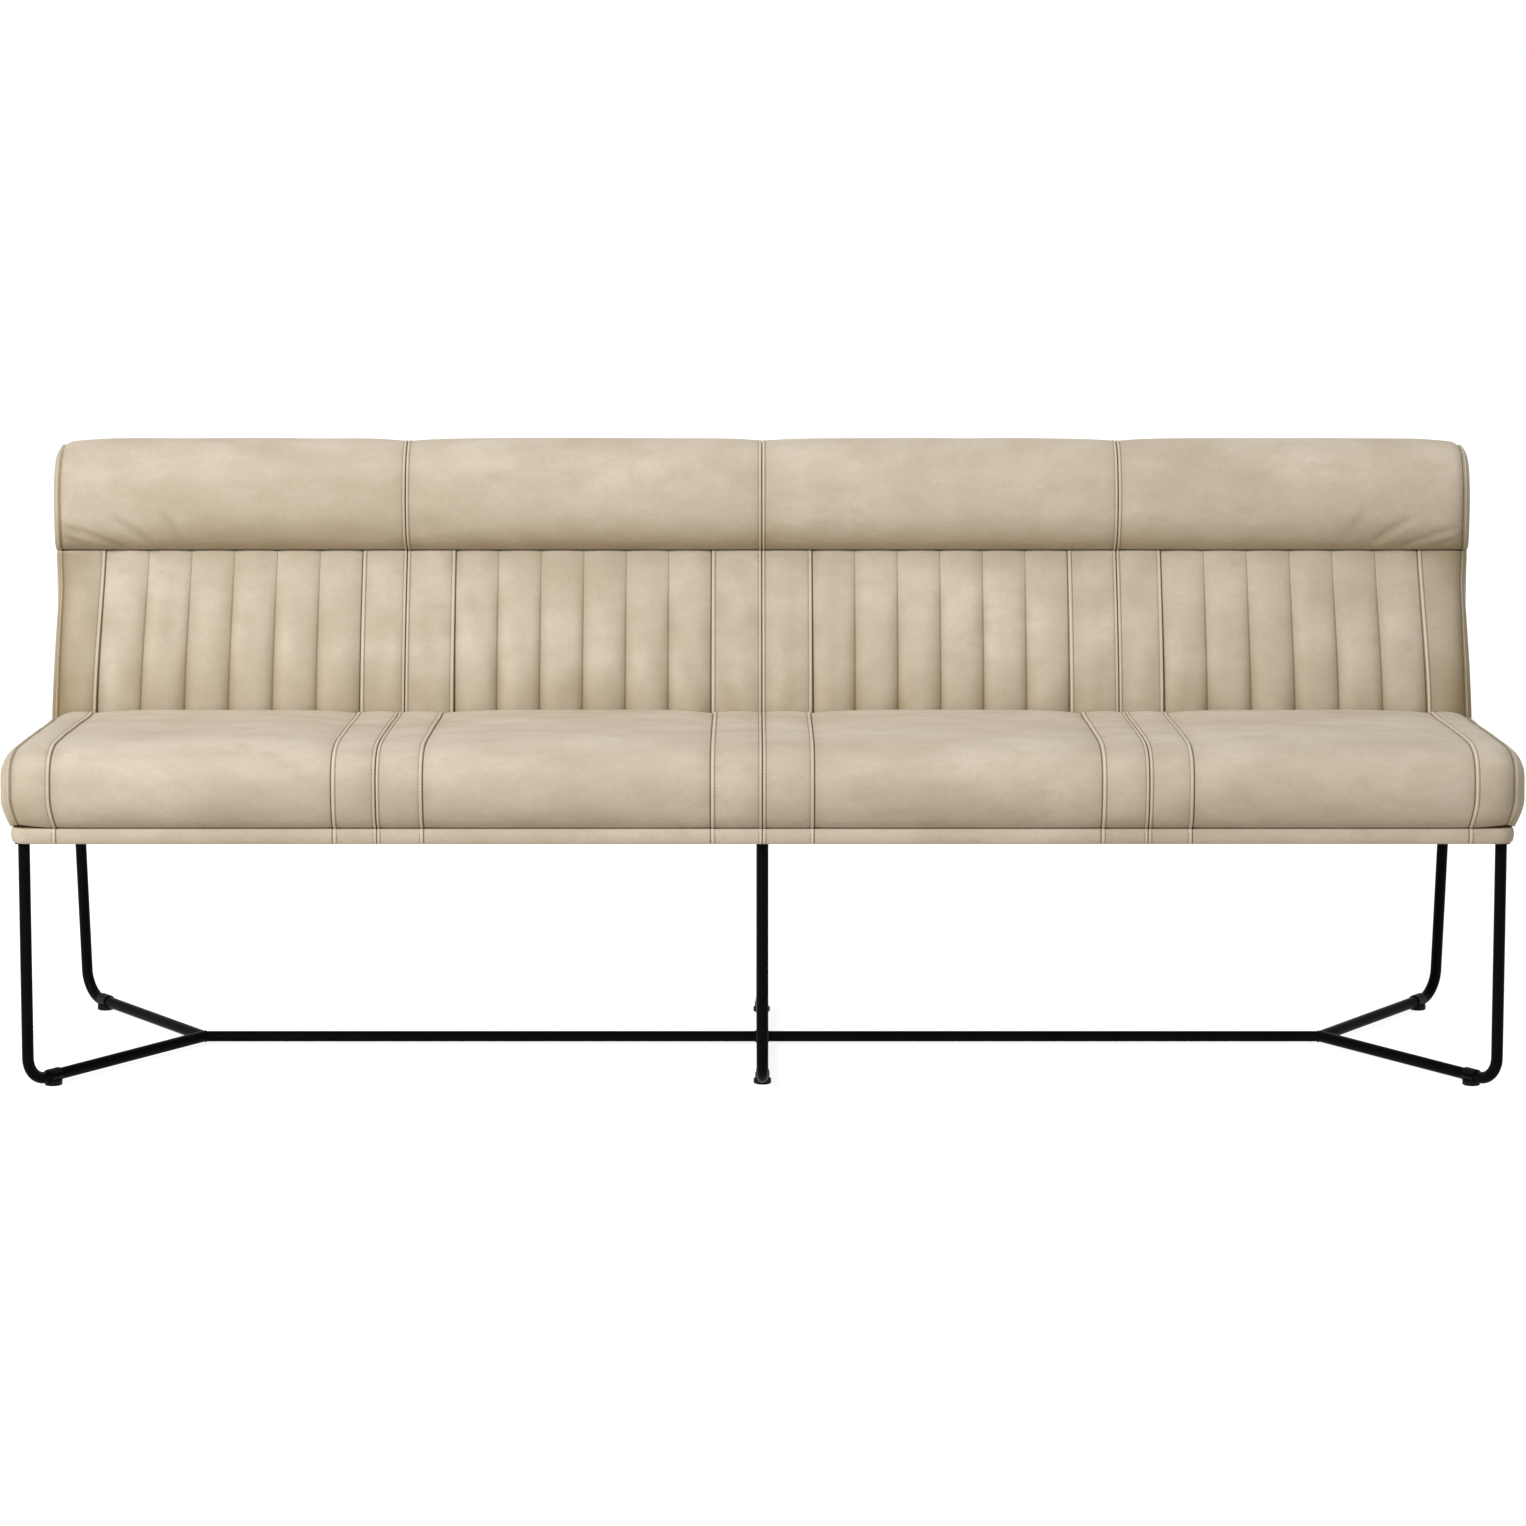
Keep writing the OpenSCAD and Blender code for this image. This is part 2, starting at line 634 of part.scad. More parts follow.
module back_brackets() {
    t0 = post_front_t;
    t1 = post_front_t + bracket_t;
    color("silver") difference() {
        for (x = bracket_xs) along_x(x - bracket_w / 2, x + bracket_w / 2)
            polygon([[face_y(t0, deck_z), deck_z], back_point(t0, bracket_len),
                back_point(t1, bracket_len), [face_y(t1, deck_z + bracket_t), deck_z + bracket_t],
                [bracket_foot_y - bracket_len, deck_z + bracket_t],
                [bracket_foot_y - bracket_len, deck_z]]);
        bracket_screw_shanks(bore_gap);
    }
}

module bracket_screws() {
    color("gold") {
        bracket_screw_shanks();
        at_foot_screws() cylinder(h = screw_head_h, d = screw_head_share * screw_d, $fn = round_fn);
        at_post_screws() cylinder(h = screw_head_h, d = screw_head_share * screw_d, $fn = round_fn);
    }
}

module back_board() { color("sienna") rear_panel(outer_t, shell_t, -soft_gap); }
module outer_back_cover() { color(leather) rear_panel(0, outer_t, 0); }

// Bent tubes: a run along X from the origin, with a bend and a rise at its near end.
// The turn is the angle from the run's own line to the rise. A bend is a hair thicker than
// the straight tube, which reaches a little way into it.
bend_step = 0.02;
bend_lap = 0.5;

module bend_and_rise(turn, rise, radius) {
    translate([0, 0, bend_r]) {
        rotate([90, 0, 0]) rotate([0, 0, -90 - turn])
            rotate_extrude(angle = turn, $fn = 2 * round_fn)
                translate([bend_r, 0]) circle(radius + bend_step, $fn = round_fn);
        rotate([0, turn, 0]) translate([bend_lap, 0, -bend_r]) rotate([0, -90, 0])
            cylinder(h = rise + bend_lap, r = radius, $fn = round_fn);
    }
}

module straight_run(length, radius) {
    translate([-bend_lap, 0, 0]) rotate([0, 90, 0])
        cylinder(h = length + bend_lap, r = radius, $fn = round_fn);
}

module bent_tube(run, rise, turn) {
    difference() {
        union() {
            straight_run(run, tube_r);
            bend_and_rise(turn, rise, tube_r);
        }
        straight_run(run + overrun, tube_r - tube_wall);
        bend_and_rise(turn, rise + overrun, tube_r - tube_wall);
    }
}

// Moves a tube drawn by bent_tube so that its corner, run and rise lie where they are given
module placed(corner, run_way, rise_way, trim) {
    up = unit(rise_way - (rise_way * run_way) * run_way);
    side = cross(up, run_way);
    start = corner + run_way * trim;
    multmatrix([for (k = [0:2]) [run_way[k], side[k], up[k], start[k]]]) children();
}

function turn_angle(run_way, rise_way) = acos(-run_way * rise_way);
function bend_trim(turn) = bend_r * tan(turn / 2);

// Leg frames, drawn for the right end
front_corner = [leg_x, leg_y, runner_z];
rear_corner = [leg_x, rear_corner_y, runner_z];
apex = [apex_x, apex_y, runner_z];
upright = [0, 0, 1];
raked = [0, -sin(leg_rake), cos(leg_rake)];
front_way = unit(apex - front_corner);
rear_way = unit(apex - rear_corner);
rear_turn = turn_angle(rear_way, raked);
front_trim = bend_r;
rear_trim = bend_trim(rear_turn);
middle_trim = bend_trim(90 + leg_rake);
leg_h = bar_z - runner_z;
raked_len = leg_h / cos(leg_rake) + tube_r;
runner_len = norm(apex - front_corner);
function past(from, to) = to + unit(to - from) * tube_d;

module front_leg() {
    color(steel) difference() {
        placed(front_corner, front_way, upright, front_trim)
            bent_tube(runner_len - front_trim + tube_d, leg_h - front_trim, 90);
        box(0, leg_x, apex_y, apex_y + 2 * tube_d, 0, 2 * tube_d);
    }
}

module rear_leg() {
    color(steel) difference() {
        placed(rear_corner, rear_way, raked, rear_trim)
            bent_tube(runner_len - rear_trim + tube_d, raked_len - rear_trim, rear_turn);
        box(0, leg_x, apex_y - 2 * tube_d, apex_y, 0, 2 * tube_d);
        box(0, half_w, back_foot_y - rear_rail_w, back_foot_y, bar_z, bar_z + 2 * tube_d);
    }
}

module centre_outline(radius, extra) {
    run = base_d - front_trim - middle_trim;
    straight_run(run + bend_lap, radius);
    bend_and_rise(90, leg_h - front_trim + extra, radius);
    translate([run, 0, 0]) mirror([1, 0, 0])
        bend_and_rise(90 + leg_rake, raked_len - middle_trim + extra, radius);
}

module centre_leg() {
    color(steel) difference() {
        placed([0, leg_y, runner_z], [0, 1, 0], upright, front_trim) difference() {
            centre_outline(tube_r, 0);
            centre_outline(tube_r - tube_wall, overrun);
        }
        box(-tube_d, tube_d, back_foot_y - rear_rail_w, back_foot_y, bar_z, bar_z + 2 * tube_d);
    }
}

module stretcher() {
    color(steel) difference() {
        rod([0, apex_y, runner_z], apex, stretcher_d / 2);
        rod([-overrun, apex_y, runner_z], apex + [overrun, 0, 0], stretcher_d / 2 - tube_wall);
        rod([0, apex_y - tube_d, runner_z], [0, apex_y + tube_d, runner_z], tube_r);
        runner_cut(front_corner, apex_y);
        runner_cut(rear_corner, apex_y - 2 * tube_d);
    }
}

// Where a floor runner takes the stretcher's end, on its own side of the mitre
module runner_cut(corner, far_side_y) {
    difference() {
        rod(corner, past(corner, apex), tube_r);
        box(0, leg_x, far_side_y, far_side_y + 2 * tube_d, 0, 2 * tube_d);
    }
}

module front_left_leg() { mirror([1, 0, 0]) front_leg(); }
module rear_left_leg() { mirror([1, 0, 0]) rear_leg(); }
module front_right_leg() { front_leg(); }
module rear_right_leg() { rear_leg(); }
module left_stretcher() { mirror([1, 0, 0]) stretcher(); }
module right_stretcher() { stretcher(); }

module mounting_bar(x) {
    color(steel) difference() {
        box(x - bar_w / 2, x + bar_w / 2, leg_y - bar_end, rear_top_y + bar_end, bar_z, bar_top_z);
        at_bolts() translate([0, 0, bar_z - overrun])
            cylinder(h = bar_t + 2 * overrun, d = bolt_d + bore_gap, $fn = round_fn);
    }
}

module left_mounting_bar() { mounting_bar(-leg_x); }
module centre_mounting_bar() { mounting_bar(0); }
module right_mounting_bar() { mounting_bar(leg_x); }

// Floor glides: a round foot under a clip that snaps round the runner
foot_edge = 1;
foot_rise = 2.5;
clip_slit = 5;
clip_gap = 4;
function glide_at(corner, way, trim) = corner + way * (trim + clip_gap + clip_len / 2);

module glide(place, way) {
    foot_r = glide_d / 2;
    foot_h = glide_h + foot_rise;
    color("black") translate([place[0], place[1], 0]) rotate([0, 0, atan2(way[1], way[0])])
        difference() {
            union() {
                rotate_extrude($fn = round_fn) polygon([[0, 0], [foot_r - foot_edge, 0],
                    [foot_r, foot_edge], [foot_r, foot_h - foot_edge], [foot_r - foot_edge, foot_h],
                    [0, foot_h]]);
                rod([-clip_len / 2, 0, runner_z], [clip_len / 2, 0, runner_z], tube_r + clip_wall);
            }
            rod([-glide_d, 0, runner_z], [glide_d, 0, runner_z], tube_r);
            box(-glide_d, glide_d, 0, glide_d, runner_z, runner_z + clip_slit);
            box(-glide_d, glide_d, -glide_d, glide_d, -glide_d, 0);
        }
}

module front_glide() { glide(glide_at(front_corner, front_way, front_trim), front_way); }
module rear_glide() { glide(glide_at(rear_corner, rear_way, rear_trim), -rear_way); }
module glide_front_left() { mirror([1, 0, 0]) front_glide(); }
module glide_rear_left() { mirror([1, 0, 0]) rear_glide(); }
module glide_front_right() { front_glide(); }
module glide_rear_right() { rear_glide(); }
module glide_front_centre() {
    glide(glide_at([0, leg_y, 0], [0, 1, 0], front_trim), [0, 1, 0]);
}
module glide_rear_centre() {
    glide(glide_at([0, rear_corner_y, 0], [0, -1, 0], middle_trim), [0, 1, 0]);
}

front_left_leg();
rear_left_leg();
front_right_leg();
rear_right_leg();
centre_leg();
left_stretcher();
right_stretcher();
left_mounting_bar();
centre_mounting_bar();
right_mounting_bar();
mounting_bolts();
threaded_inserts();
glide_front_left();
glide_rear_left();
glide_front_right();
glide_rear_right();
glide_front_centre();
glide_rear_centre();
seat_front_rail();
seat_rear_rail();
seat_left_rail();
seat_right_rail();
seat_cross_rails();
seat_webbing();
seat_felt();
seat_foam();
seat_cover_1();
seat_cover_2();
seat_cover_3();
seat_cover_4();
front_border();
rear_border();
left_border();
right_border();
dust_cover();
back_left_post();
back_right_post();
back_inner_posts();
back_bottom_rail();
back_middle_rail();
back_top_rail();
back_webbing();
lumbar_foam();
head_roll_foam();
back_cover_1();
back_cover_2();
back_cover_3();
back_cover_4();
head_roll_1();
head_roll_2();
head_roll_3();
head_roll_4();
back_board();
outer_back_cover();
back_brackets();
bracket_screws();
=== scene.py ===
# Looks of the dining sofa: sewn leather upholstery, topstitching, powder-coated legs, floor and light.
# Metres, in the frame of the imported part: +X along the sofa, -Y its front, +Z up, Z = 0 the floor.
import math

import bpy
import numpy as np
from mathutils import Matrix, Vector

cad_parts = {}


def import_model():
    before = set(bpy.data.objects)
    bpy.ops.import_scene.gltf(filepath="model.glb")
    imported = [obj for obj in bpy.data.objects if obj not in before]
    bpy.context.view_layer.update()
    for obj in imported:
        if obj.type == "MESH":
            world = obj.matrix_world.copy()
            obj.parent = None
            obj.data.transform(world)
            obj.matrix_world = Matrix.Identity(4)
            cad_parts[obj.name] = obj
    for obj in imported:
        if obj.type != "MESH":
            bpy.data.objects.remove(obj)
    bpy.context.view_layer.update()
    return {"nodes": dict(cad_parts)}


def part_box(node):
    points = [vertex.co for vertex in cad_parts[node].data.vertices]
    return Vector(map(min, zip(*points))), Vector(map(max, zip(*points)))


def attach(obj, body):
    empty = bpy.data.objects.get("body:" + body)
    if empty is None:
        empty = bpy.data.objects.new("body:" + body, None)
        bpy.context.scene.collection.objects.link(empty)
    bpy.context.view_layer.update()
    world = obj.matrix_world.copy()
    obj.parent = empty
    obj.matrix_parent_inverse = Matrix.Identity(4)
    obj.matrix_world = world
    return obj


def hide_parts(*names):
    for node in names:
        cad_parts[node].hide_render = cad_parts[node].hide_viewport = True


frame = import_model()
scene = bpy.context.scene

MM = 0.001

# Places read from the frame
DECK_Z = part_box("seat_front_rail")[1].z
FRONT_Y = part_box("seat_cover_2")[0].y
HALF_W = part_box("seat_cover_4")[1].x
BACK_HALF_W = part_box("back_cover_4")[1].x
BORDER_LOW, BORDER_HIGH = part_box("front_border")[0].z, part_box("front_border")[1].z
BORDER_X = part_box("right_border")[1].x
BORDER_FRONT_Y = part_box("front_border")[0].y
BORDER_REAR_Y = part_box("rear_border")[1].y
BAR_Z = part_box("centre_mounting_bar")[0].z
TUBE_R = 8.6 * MM
LEG_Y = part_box("centre_leg")[0].y + TUBE_R
BACK_FOOT_Y = BORDER_REAR_Y - 5 * MM

# Sizes of the upholstery, as the covers of the part have them, but for PAD_REAR_R and PAD_END_TAPER
PAD_H = 120.5 * MM
PAD_REAR_H = 108 * MM
PAD_CREST_D = 90 * MM
PAD_REAR_R = 6 * MM
PAD_END_R = 45 * MM
PAD_END_TAPER = 6 * MM
BACK_RAKE = math.radians(8)
BACK_H = 506 * MM
PANEL_H = 478 * MM
GROOVE_H = 335 * MM
FOOT_T = 153 * MM
GROOVE_T = 97 * MM
ROLL_T = 150 * MM
SHELL_T = 4.5 * MM
BACK_END_R = 26 * MM
BORDER_R = 26 * MM
BORDER_T = 5 * MM

# Seams across the sofa, measured from its middle, and how far round the ends the edge seams lie
SEAT_BOUNDARY = 557 * MM
SEAT_FIELDS = ((75 * MM, 489 * MM), (621 * MM, 1025 * MM))
BACK_BOUNDARY = 549 * MM
BACK_FIELDS = ((78 * MM, 473.5 * MM), (618 * MM, 1023 * MM))
CHANNELS = 6
BACK_EDGE_TURN = math.radians(42)
SEAT_EDGE_TURN = math.radians(32)

# Sewing: a seam's own groove, its raised allowance on a field or at a join, and an edge seam's bead
SEAM_W = 0.9 * MM
SEAM_D = 1.7 * MM
LAP_W = 6.2 * MM
JOIN_LAP_W = 5.2 * MM
LAP_H = 1.1 * MM
CHANNEL_D = 1.1 * MM
EDGE_D = 0.8 * MM
BEAD_H = 0.6 * MM
BEAD_W = 0.9 * MM
BEAD_OFF = 1.7 * MM
EDGE_STITCH_OFF = 2.4 * MM
STITCH_PITCH = 5.0 * MM
STITCH_LEN = 3.4 * MM
STITCH_R = 0.5 * MM

# Padding between the seams
STRIP_LIMIT = 100 * MM
STRIP_SINK = 0.8 * MM
STRIP_CROWN = 2.6 * MM
SEAT_CROWN = 4 * MM
ROLL_CROWN = 4 * MM
CHANNEL_CROWN = 6.5 * MM
BACK_STRIP_CROWN = 2.4 * MM
GUSSET_SWELL = 0.8 * MM
CREST_RISE = 2.6 * MM
CREST_END_FALL = 2.2 * MM
CREST_SIDE_FALL = 2.4 * MM
END_LEAN = 5 * MM

# Moves of the ends along the sofa
SIDE_PUSH = 3 * MM
FOOT_PUSH = 7 * MM
FOOT_PUSH_LENGTH = 320 * MM
FIELD_SKEW = 7 * MM
END_BULGE = 5.5 * MM
EDGE_BULGE = 5 * MM
FOOT_BULGE = 6 * MM

# The mesh of a cover: its steps, the hidden sides that close it and the rings that close its end
ROW_STEP = 5 * MM
COLUMN_STEP = 7 * MM
EDGE_ROWS = np.array([0, 0.8, 1.6, 2.6, 4, 6]) * MM
PIECE_GAP = 0.15 * MM
HIDDEN_PARTS = 5
END_SHARES = (0.05, 0.12, 0.22, 0.36, 0.52, 0.7, 0.88)

# How far the hidden corner behind a head roll lies below its rear edge, the gap between the seat and the
# back, and the reach over which the outline's ways are read where an end is drawn in
REAR_DROP = 12 * MM
REST_GAP = 0.3 * MM
BROAD_SPREAD = 32 * MM


# Curves and small helpers
def spline(knots, values, at):
    """Values at the places given, on the natural cubic spline through the knots."""
    n = len(knots)
    step = np.diff(knots)
    system = np.zeros((n, n))
    wanted = np.zeros((n,) + values.shape[1:])
    system[0, 0] = system[-1, -1] = 1
    for i in range(1, n - 1):
        system[i, i - 1:i + 2] = step[i - 1], 2 * (step[i - 1] + step[i]), step[i]
        wanted[i] = 6 * ((values[i + 1] - values[i]) / step[i] - (values[i] - values[i - 1]) / step[i - 1])
    bend = np.linalg.solve(system, wanted.reshape(n, -1)).reshape(wanted.shape)
    at = np.clip(at, knots[0], knots[-1])
    i = np.clip(np.searchsorted(knots, at) - 1, 0, n - 2)
    shape = (len(at),) + (1,) * (values.ndim - 1)
    h = step[i].reshape(shape)
    a = ((knots[i + 1] - at).reshape(shape)) / h
    b = 1 - a
    return (a * values[i] + b * values[i + 1]
            + ((a ** 3 - a) * bend[i] + (b ** 3 - b) * bend[i + 1]) * h ** 2 / 6)


def smooth(low, high, x):
    t = np.clip((x - low) / (high - low), 0, 1)
    return t * t * (3 - 2 * t)


def bell(x, width):
    return np.exp(-(x / width) ** 2)


def unit(v):
    return v / np.maximum(np.linalg.norm(v, axis=-1, keepdims=True), 1e-12)


def ripple(u, v, length_u, length_v, seed):
    """Smooth unevenness between about -1 and 1, with the given wave lengths along u and v."""
    random = np.random.RandomState(seed)
    total = 0
    waves = 9
    for _ in range(waves):
        turn = random.uniform(0, math.tau)
        reach = random.uniform(0.7, 1.6)
        phase = random.uniform(0, math.tau)
        along = np.cos(turn) * u / length_u + np.sin(turn) * v / length_v
        total = total + np.sin(math.tau * reach * along + phase)
    return total / math.sqrt(waves) / 1.6


class Outline:
    """A smooth curve through points of a plane, read by the distance along it."""

    def __init__(self, points, side):
        points = np.array(points, float)
        knots = np.concatenate([[0], np.cumsum(np.linalg.norm(np.diff(points, axis=0), axis=1) ** 0.5)])
        self.points = spline(knots, points, np.linspace(0, knots[-1], 1500))
        steps = np.linalg.norm(np.diff(self.points, axis=0), axis=1)
        self.places = np.concatenate([[0], np.cumsum(steps)])
        self.length = self.places[-1]
        self.side = side

    def at(self, s):
        return np.stack([np.interp(s, self.places, self.points[:, k]) for k in (0, 1)], axis=-1)

    def normal(self, s, spread=1.5 * MM):
        way = unit(self.at(np.minimum(s + spread, self.length)) - self.at(np.maximum(s - spread, 0)))
        return self.side * np.stack([-way[..., 1], way[..., 0]], axis=-1)


def back_point(p):
    """Y and Z of points given as distance in front of the rear face and height along it."""
    t, h = p[..., 0], p[..., 1]
    sine, cosine = math.sin(BACK_RAKE), math.cos(BACK_RAKE)
    return np.stack([BACK_FOOT_Y + h * sine - t * cosine, DECK_Z + h * cosine + t * sine], axis=-1)


def face_y(t, z):
    """Y at height z of a plane that lies t in front of the back's rear face."""
    return BACK_FOOT_Y + (z - DECK_Z) * math.tan(BACK_RAKE) - t / math.cos(BACK_RAKE)


def mesh_object(name, points, faces, shaded_smooth=None):
    mesh = bpy.data.meshes.new(name)
    mesh.from_pydata([tuple(p) for p in points], [], faces)
    shade = np.ones(len(faces), bool) if shaded_smooth is None else shaded_smooth
    mesh.polygons.foreach_set("use_smooth", shade)
    mesh.update()
    piece = bpy.data.objects.new(name, mesh)
    scene.collection.objects.link(piece)
    return piece


def ring_faces(rings, size, joined=False):
    """Quads between neighbouring rings of points. Joined rings also meet from the last to the first."""
    faces = []
    for k in range(rings if joined else rings - 1):
        after = (k + 1) % rings
        for j in range(size):
            i = (j + 1) % size
            faces.append((k * size + j, after * size + j, after * size + i, k * size + i))
    return faces


def sheet_faces(rows, columns):
    """Quads between the neighbouring points of a grid."""
    index = np.arange(rows * columns).reshape(rows, columns)
    return np.stack([index[:-1, :-1], index[:-1, 1:], index[1:, 1:], index[1:, :-1]], axis=-1).reshape(-1, 4)


def paint(piece, name, values):
    layer = piece.data.attributes.new(name, "FLOAT", "POINT")
    layer.data.foreach_set("value", np.asarray(values, np.float32).ravel())


def finish_piece(piece, material, nodes=()):
    piece.data.materials.clear()
    piece.data.materials.append(material)
    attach(piece, "root")
    if nodes:
        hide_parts(*nodes)


# Outlines of the seat pad, the channelled back and the head roll, as shares of their sizes
PAD_FRONT_SHARES = ((0.29, 0), (0.16, 0.08), (0.07, 0.2), (0.017, 0.35), (0, 0.5), (0.017, 0.64),
                    (0.08, 0.775), (0.2, 0.88), (0.4, 0.95), (0.66, 0.99), (1, 1))
PAD_TOP_SHARES = ((0.17, 0.1), (0.39, 0.34), (0.64, 0.64), (0.9, 0.93))
LUMBAR_SHARES = ((0, 0.2), (0, 0.29), (0.07, 0.42), (0.22, 0.56), (0.43, 0.7), (0.66, 0.83),
                 (0.87, 0.94))
ROLL_SHARES = ((0.8, 0.045), (0.915, 0.16), (0.985, 0.34), (1, 0.52), (0.975, 0.69),
               (0.89, 0.85), (0.74, 0.96), (0.56, 1), (0.33, 0.975), (0.12, 0.91))


def pad_outline():
    crest_y = FRONT_Y + PAD_CREST_D
    rear_y = face_y(FOOT_T, DECK_Z + PAD_REAR_H) - REST_GAP
    rear_z = DECK_Z + PAD_REAR_H
    points = [(FRONT_Y + a * PAD_CREST_D, DECK_Z + b * PAD_H) for a, b in PAD_FRONT_SHARES]
    points += [(crest_y + a * (rear_y - crest_y), DECK_Z + PAD_H - b * (PAD_H - PAD_REAR_H))
               for a, b in PAD_TOP_SHARES]
    points += [(rear_y - 0.3 * PAD_REAR_R, rear_z - 0.3 * PAD_REAR_R), (rear_y, rear_z - 1.6 * PAD_REAR_R)]
    return Outline(points, 1)


def lumbar_outline():
    points = [(FOOT_T, -FOOT_T * math.tan(BACK_RAKE))]
    points += [(FOOT_T - a * (FOOT_T - GROOVE_T), b * GROOVE_H) for a, b in LUMBAR_SHARES]
    points += [(GROOVE_T, GROOVE_H - PIECE_GAP)]
    return Outline(points, -1)


def roll_outline():
    points = [(GROOVE_T, GROOVE_H + PIECE_GAP)]
    points += [(a * ROLL_T, GROOVE_H + b * (BACK_H - GROOVE_H)) for a, b in ROLL_SHARES]
    points += [(0, PANEL_H)]
    return Outline(points, -1)


# Seams: how far the leather stands off its smooth shape near them, and the shade and highlight painted on
# the leather there
class Seam:
    """A seam at a place across a piece. Laps are the sides, -1 or 1, with a folded allowance."""

    offsets = np.array([0, 0.35, 0.7, 1.1, 1.6, 2.4, 3.6, 4.6, 5.4, 6.2, 7, 8, 9.5, 13]) * MM

    def __init__(self, at, laps=(), width=LAP_W):
        self.at, self.laps, self.width = at, laps, width

    def lap(self, d):
        """Raised seam allowance on the positive side of the seam, with its stitch valley."""
        raised = smooth(0.2 * MM, 1.4 * MM, d)
        raised = LAP_H * raised * (1 - smooth(self.width - 1.6 * MM, self.width + 0.8 * MM, d))
        return raised - 0.5 * MM * bell(d - self.width, 1.1 * MM)

    def relief(self, c):
        d = c - self.at
        return -SEAM_D * bell(d, SEAM_W) + sum(self.lap(side * d) for side in self.laps)

    # Painted shade: darker leather in the seam's groove and in the stitch valleys beside it, where shade
    # falls.
    def seam_shade(self, c):
        d = c - self.at
        stitches = sum(0.2 * bell(side * d - self.width, 0.9 * MM) for side in self.laps)
        return 0.85 * bell(d, 0.8 * MM) + stitches

    # Painted highlight: lighter leather along the top of each raised seam allowance.
    def ridge_highlight(self, c):
        low, high = self.width - 2.4 * MM, self.width - 0.8 * MM
        sides = [side * (c - self.at) for side in self.laps]
        return sum(smooth(0.8 * MM, 1.8 * MM, d) * (1 - smooth(low, high, d)) for d in sides)

    # Painted shade: broad darkening of the leather on both sides of the seam.
    def painted_shade(self, c):
        return 0.16 * bell(c - self.at, 13 * MM)

    def stitch_places(self):
        return [self.at + side * self.width for side in self.laps]


class Channel(Seam):
    """A line of stitches that draws the leather down between two channels."""

    offsets = np.array([0, 0.6, 1.2, 2, 3, 4.5, 8]) * MM

    def relief(self, c):
        return -CHANNEL_D * bell(c - self.at, 1.4 * MM)

    # Painted shade in the channel line's stitched groove.
    def seam_shade(self, c):
        return 0.25 * bell(c - self.at, 0.9 * MM)

    def ridge_highlight(self, c):
        return 0 * c

    # Painted shade down the channel's valley.
    def painted_shade(self, c):
        return 0.34 * bell(c - self.at, 9 * MM)

    def stitch_places(self):
        return [self.at]


class Edge(Seam):
    """The seam between the front of a section and its side panel, with a narrow bead."""

    def relief(self, c):
        d = c - self.at
        return -EDGE_D * bell(d, 0.8 * MM) + BEAD_H * bell(d - BEAD_OFF, BEAD_W)

    # Painted shade in the edge seam's groove.
    def seam_shade(self, c):
        return 0.5 * bell(c - self.at, 0.9 * MM)

    # Painted highlight along the top of the bead.
    def ridge_highlight(self, c):
        return 0.8 * bell(c - self.at - BEAD_OFF, BEAD_W)

    def stitch_places(self):
        return [self.at - EDGE_STITCH_OFF]


def stitch_places(seams):
    return [place for seam in seams for place in seam.stitch_places()]


def spread_places(low, high, step, seams):
    """Places from low to high, about a step apart and close together at the seams."""
    places = list(np.linspace(low, high, int(math.ceil((high - low) / step)) + 1))
    for seam in seams:
        for side in (-1, 1):
            places += [seam.at + side * o for o in seam.offsets]
    places = np.unique([p for p in places if low - 1e-9 <= p <= high + 1e-9])
    fixed = stitch_places(seams) + [seam.at for seam in seams] + [low, high]
    kept = [places[0]]
    for p in places[1:]:
        if p - kept[-1] > 0.3 * MM:
            kept.append(p)
        elif any(abs(p - f) < 1e-7 for f in fixed):
            kept[-1] = p
    return np.array(kept)


def section_seams(boundary, fields, channels, inner, edge_at):
    """Seams of a section: its boundaries, its field's seams, its channels and an end's edge seam."""
    if inner:
        seams = [Seam(0, (1,), JOIN_LAP_W), Seam(boundary, (-1,), JOIN_LAP_W)]
    else:
        seams = [Seam(boundary, (1,), JOIN_LAP_W), Edge(edge_at)]
    a, b = fields[0 if inner else 1]
    if channels:
        seams += [Seam(a, (-1,)), Seam(b, (1,))]
        seams += [Channel(a + (b - a) * k / channels) for k in range(1, channels)]
    return sorted(seams, key=lambda seam: seam.at)


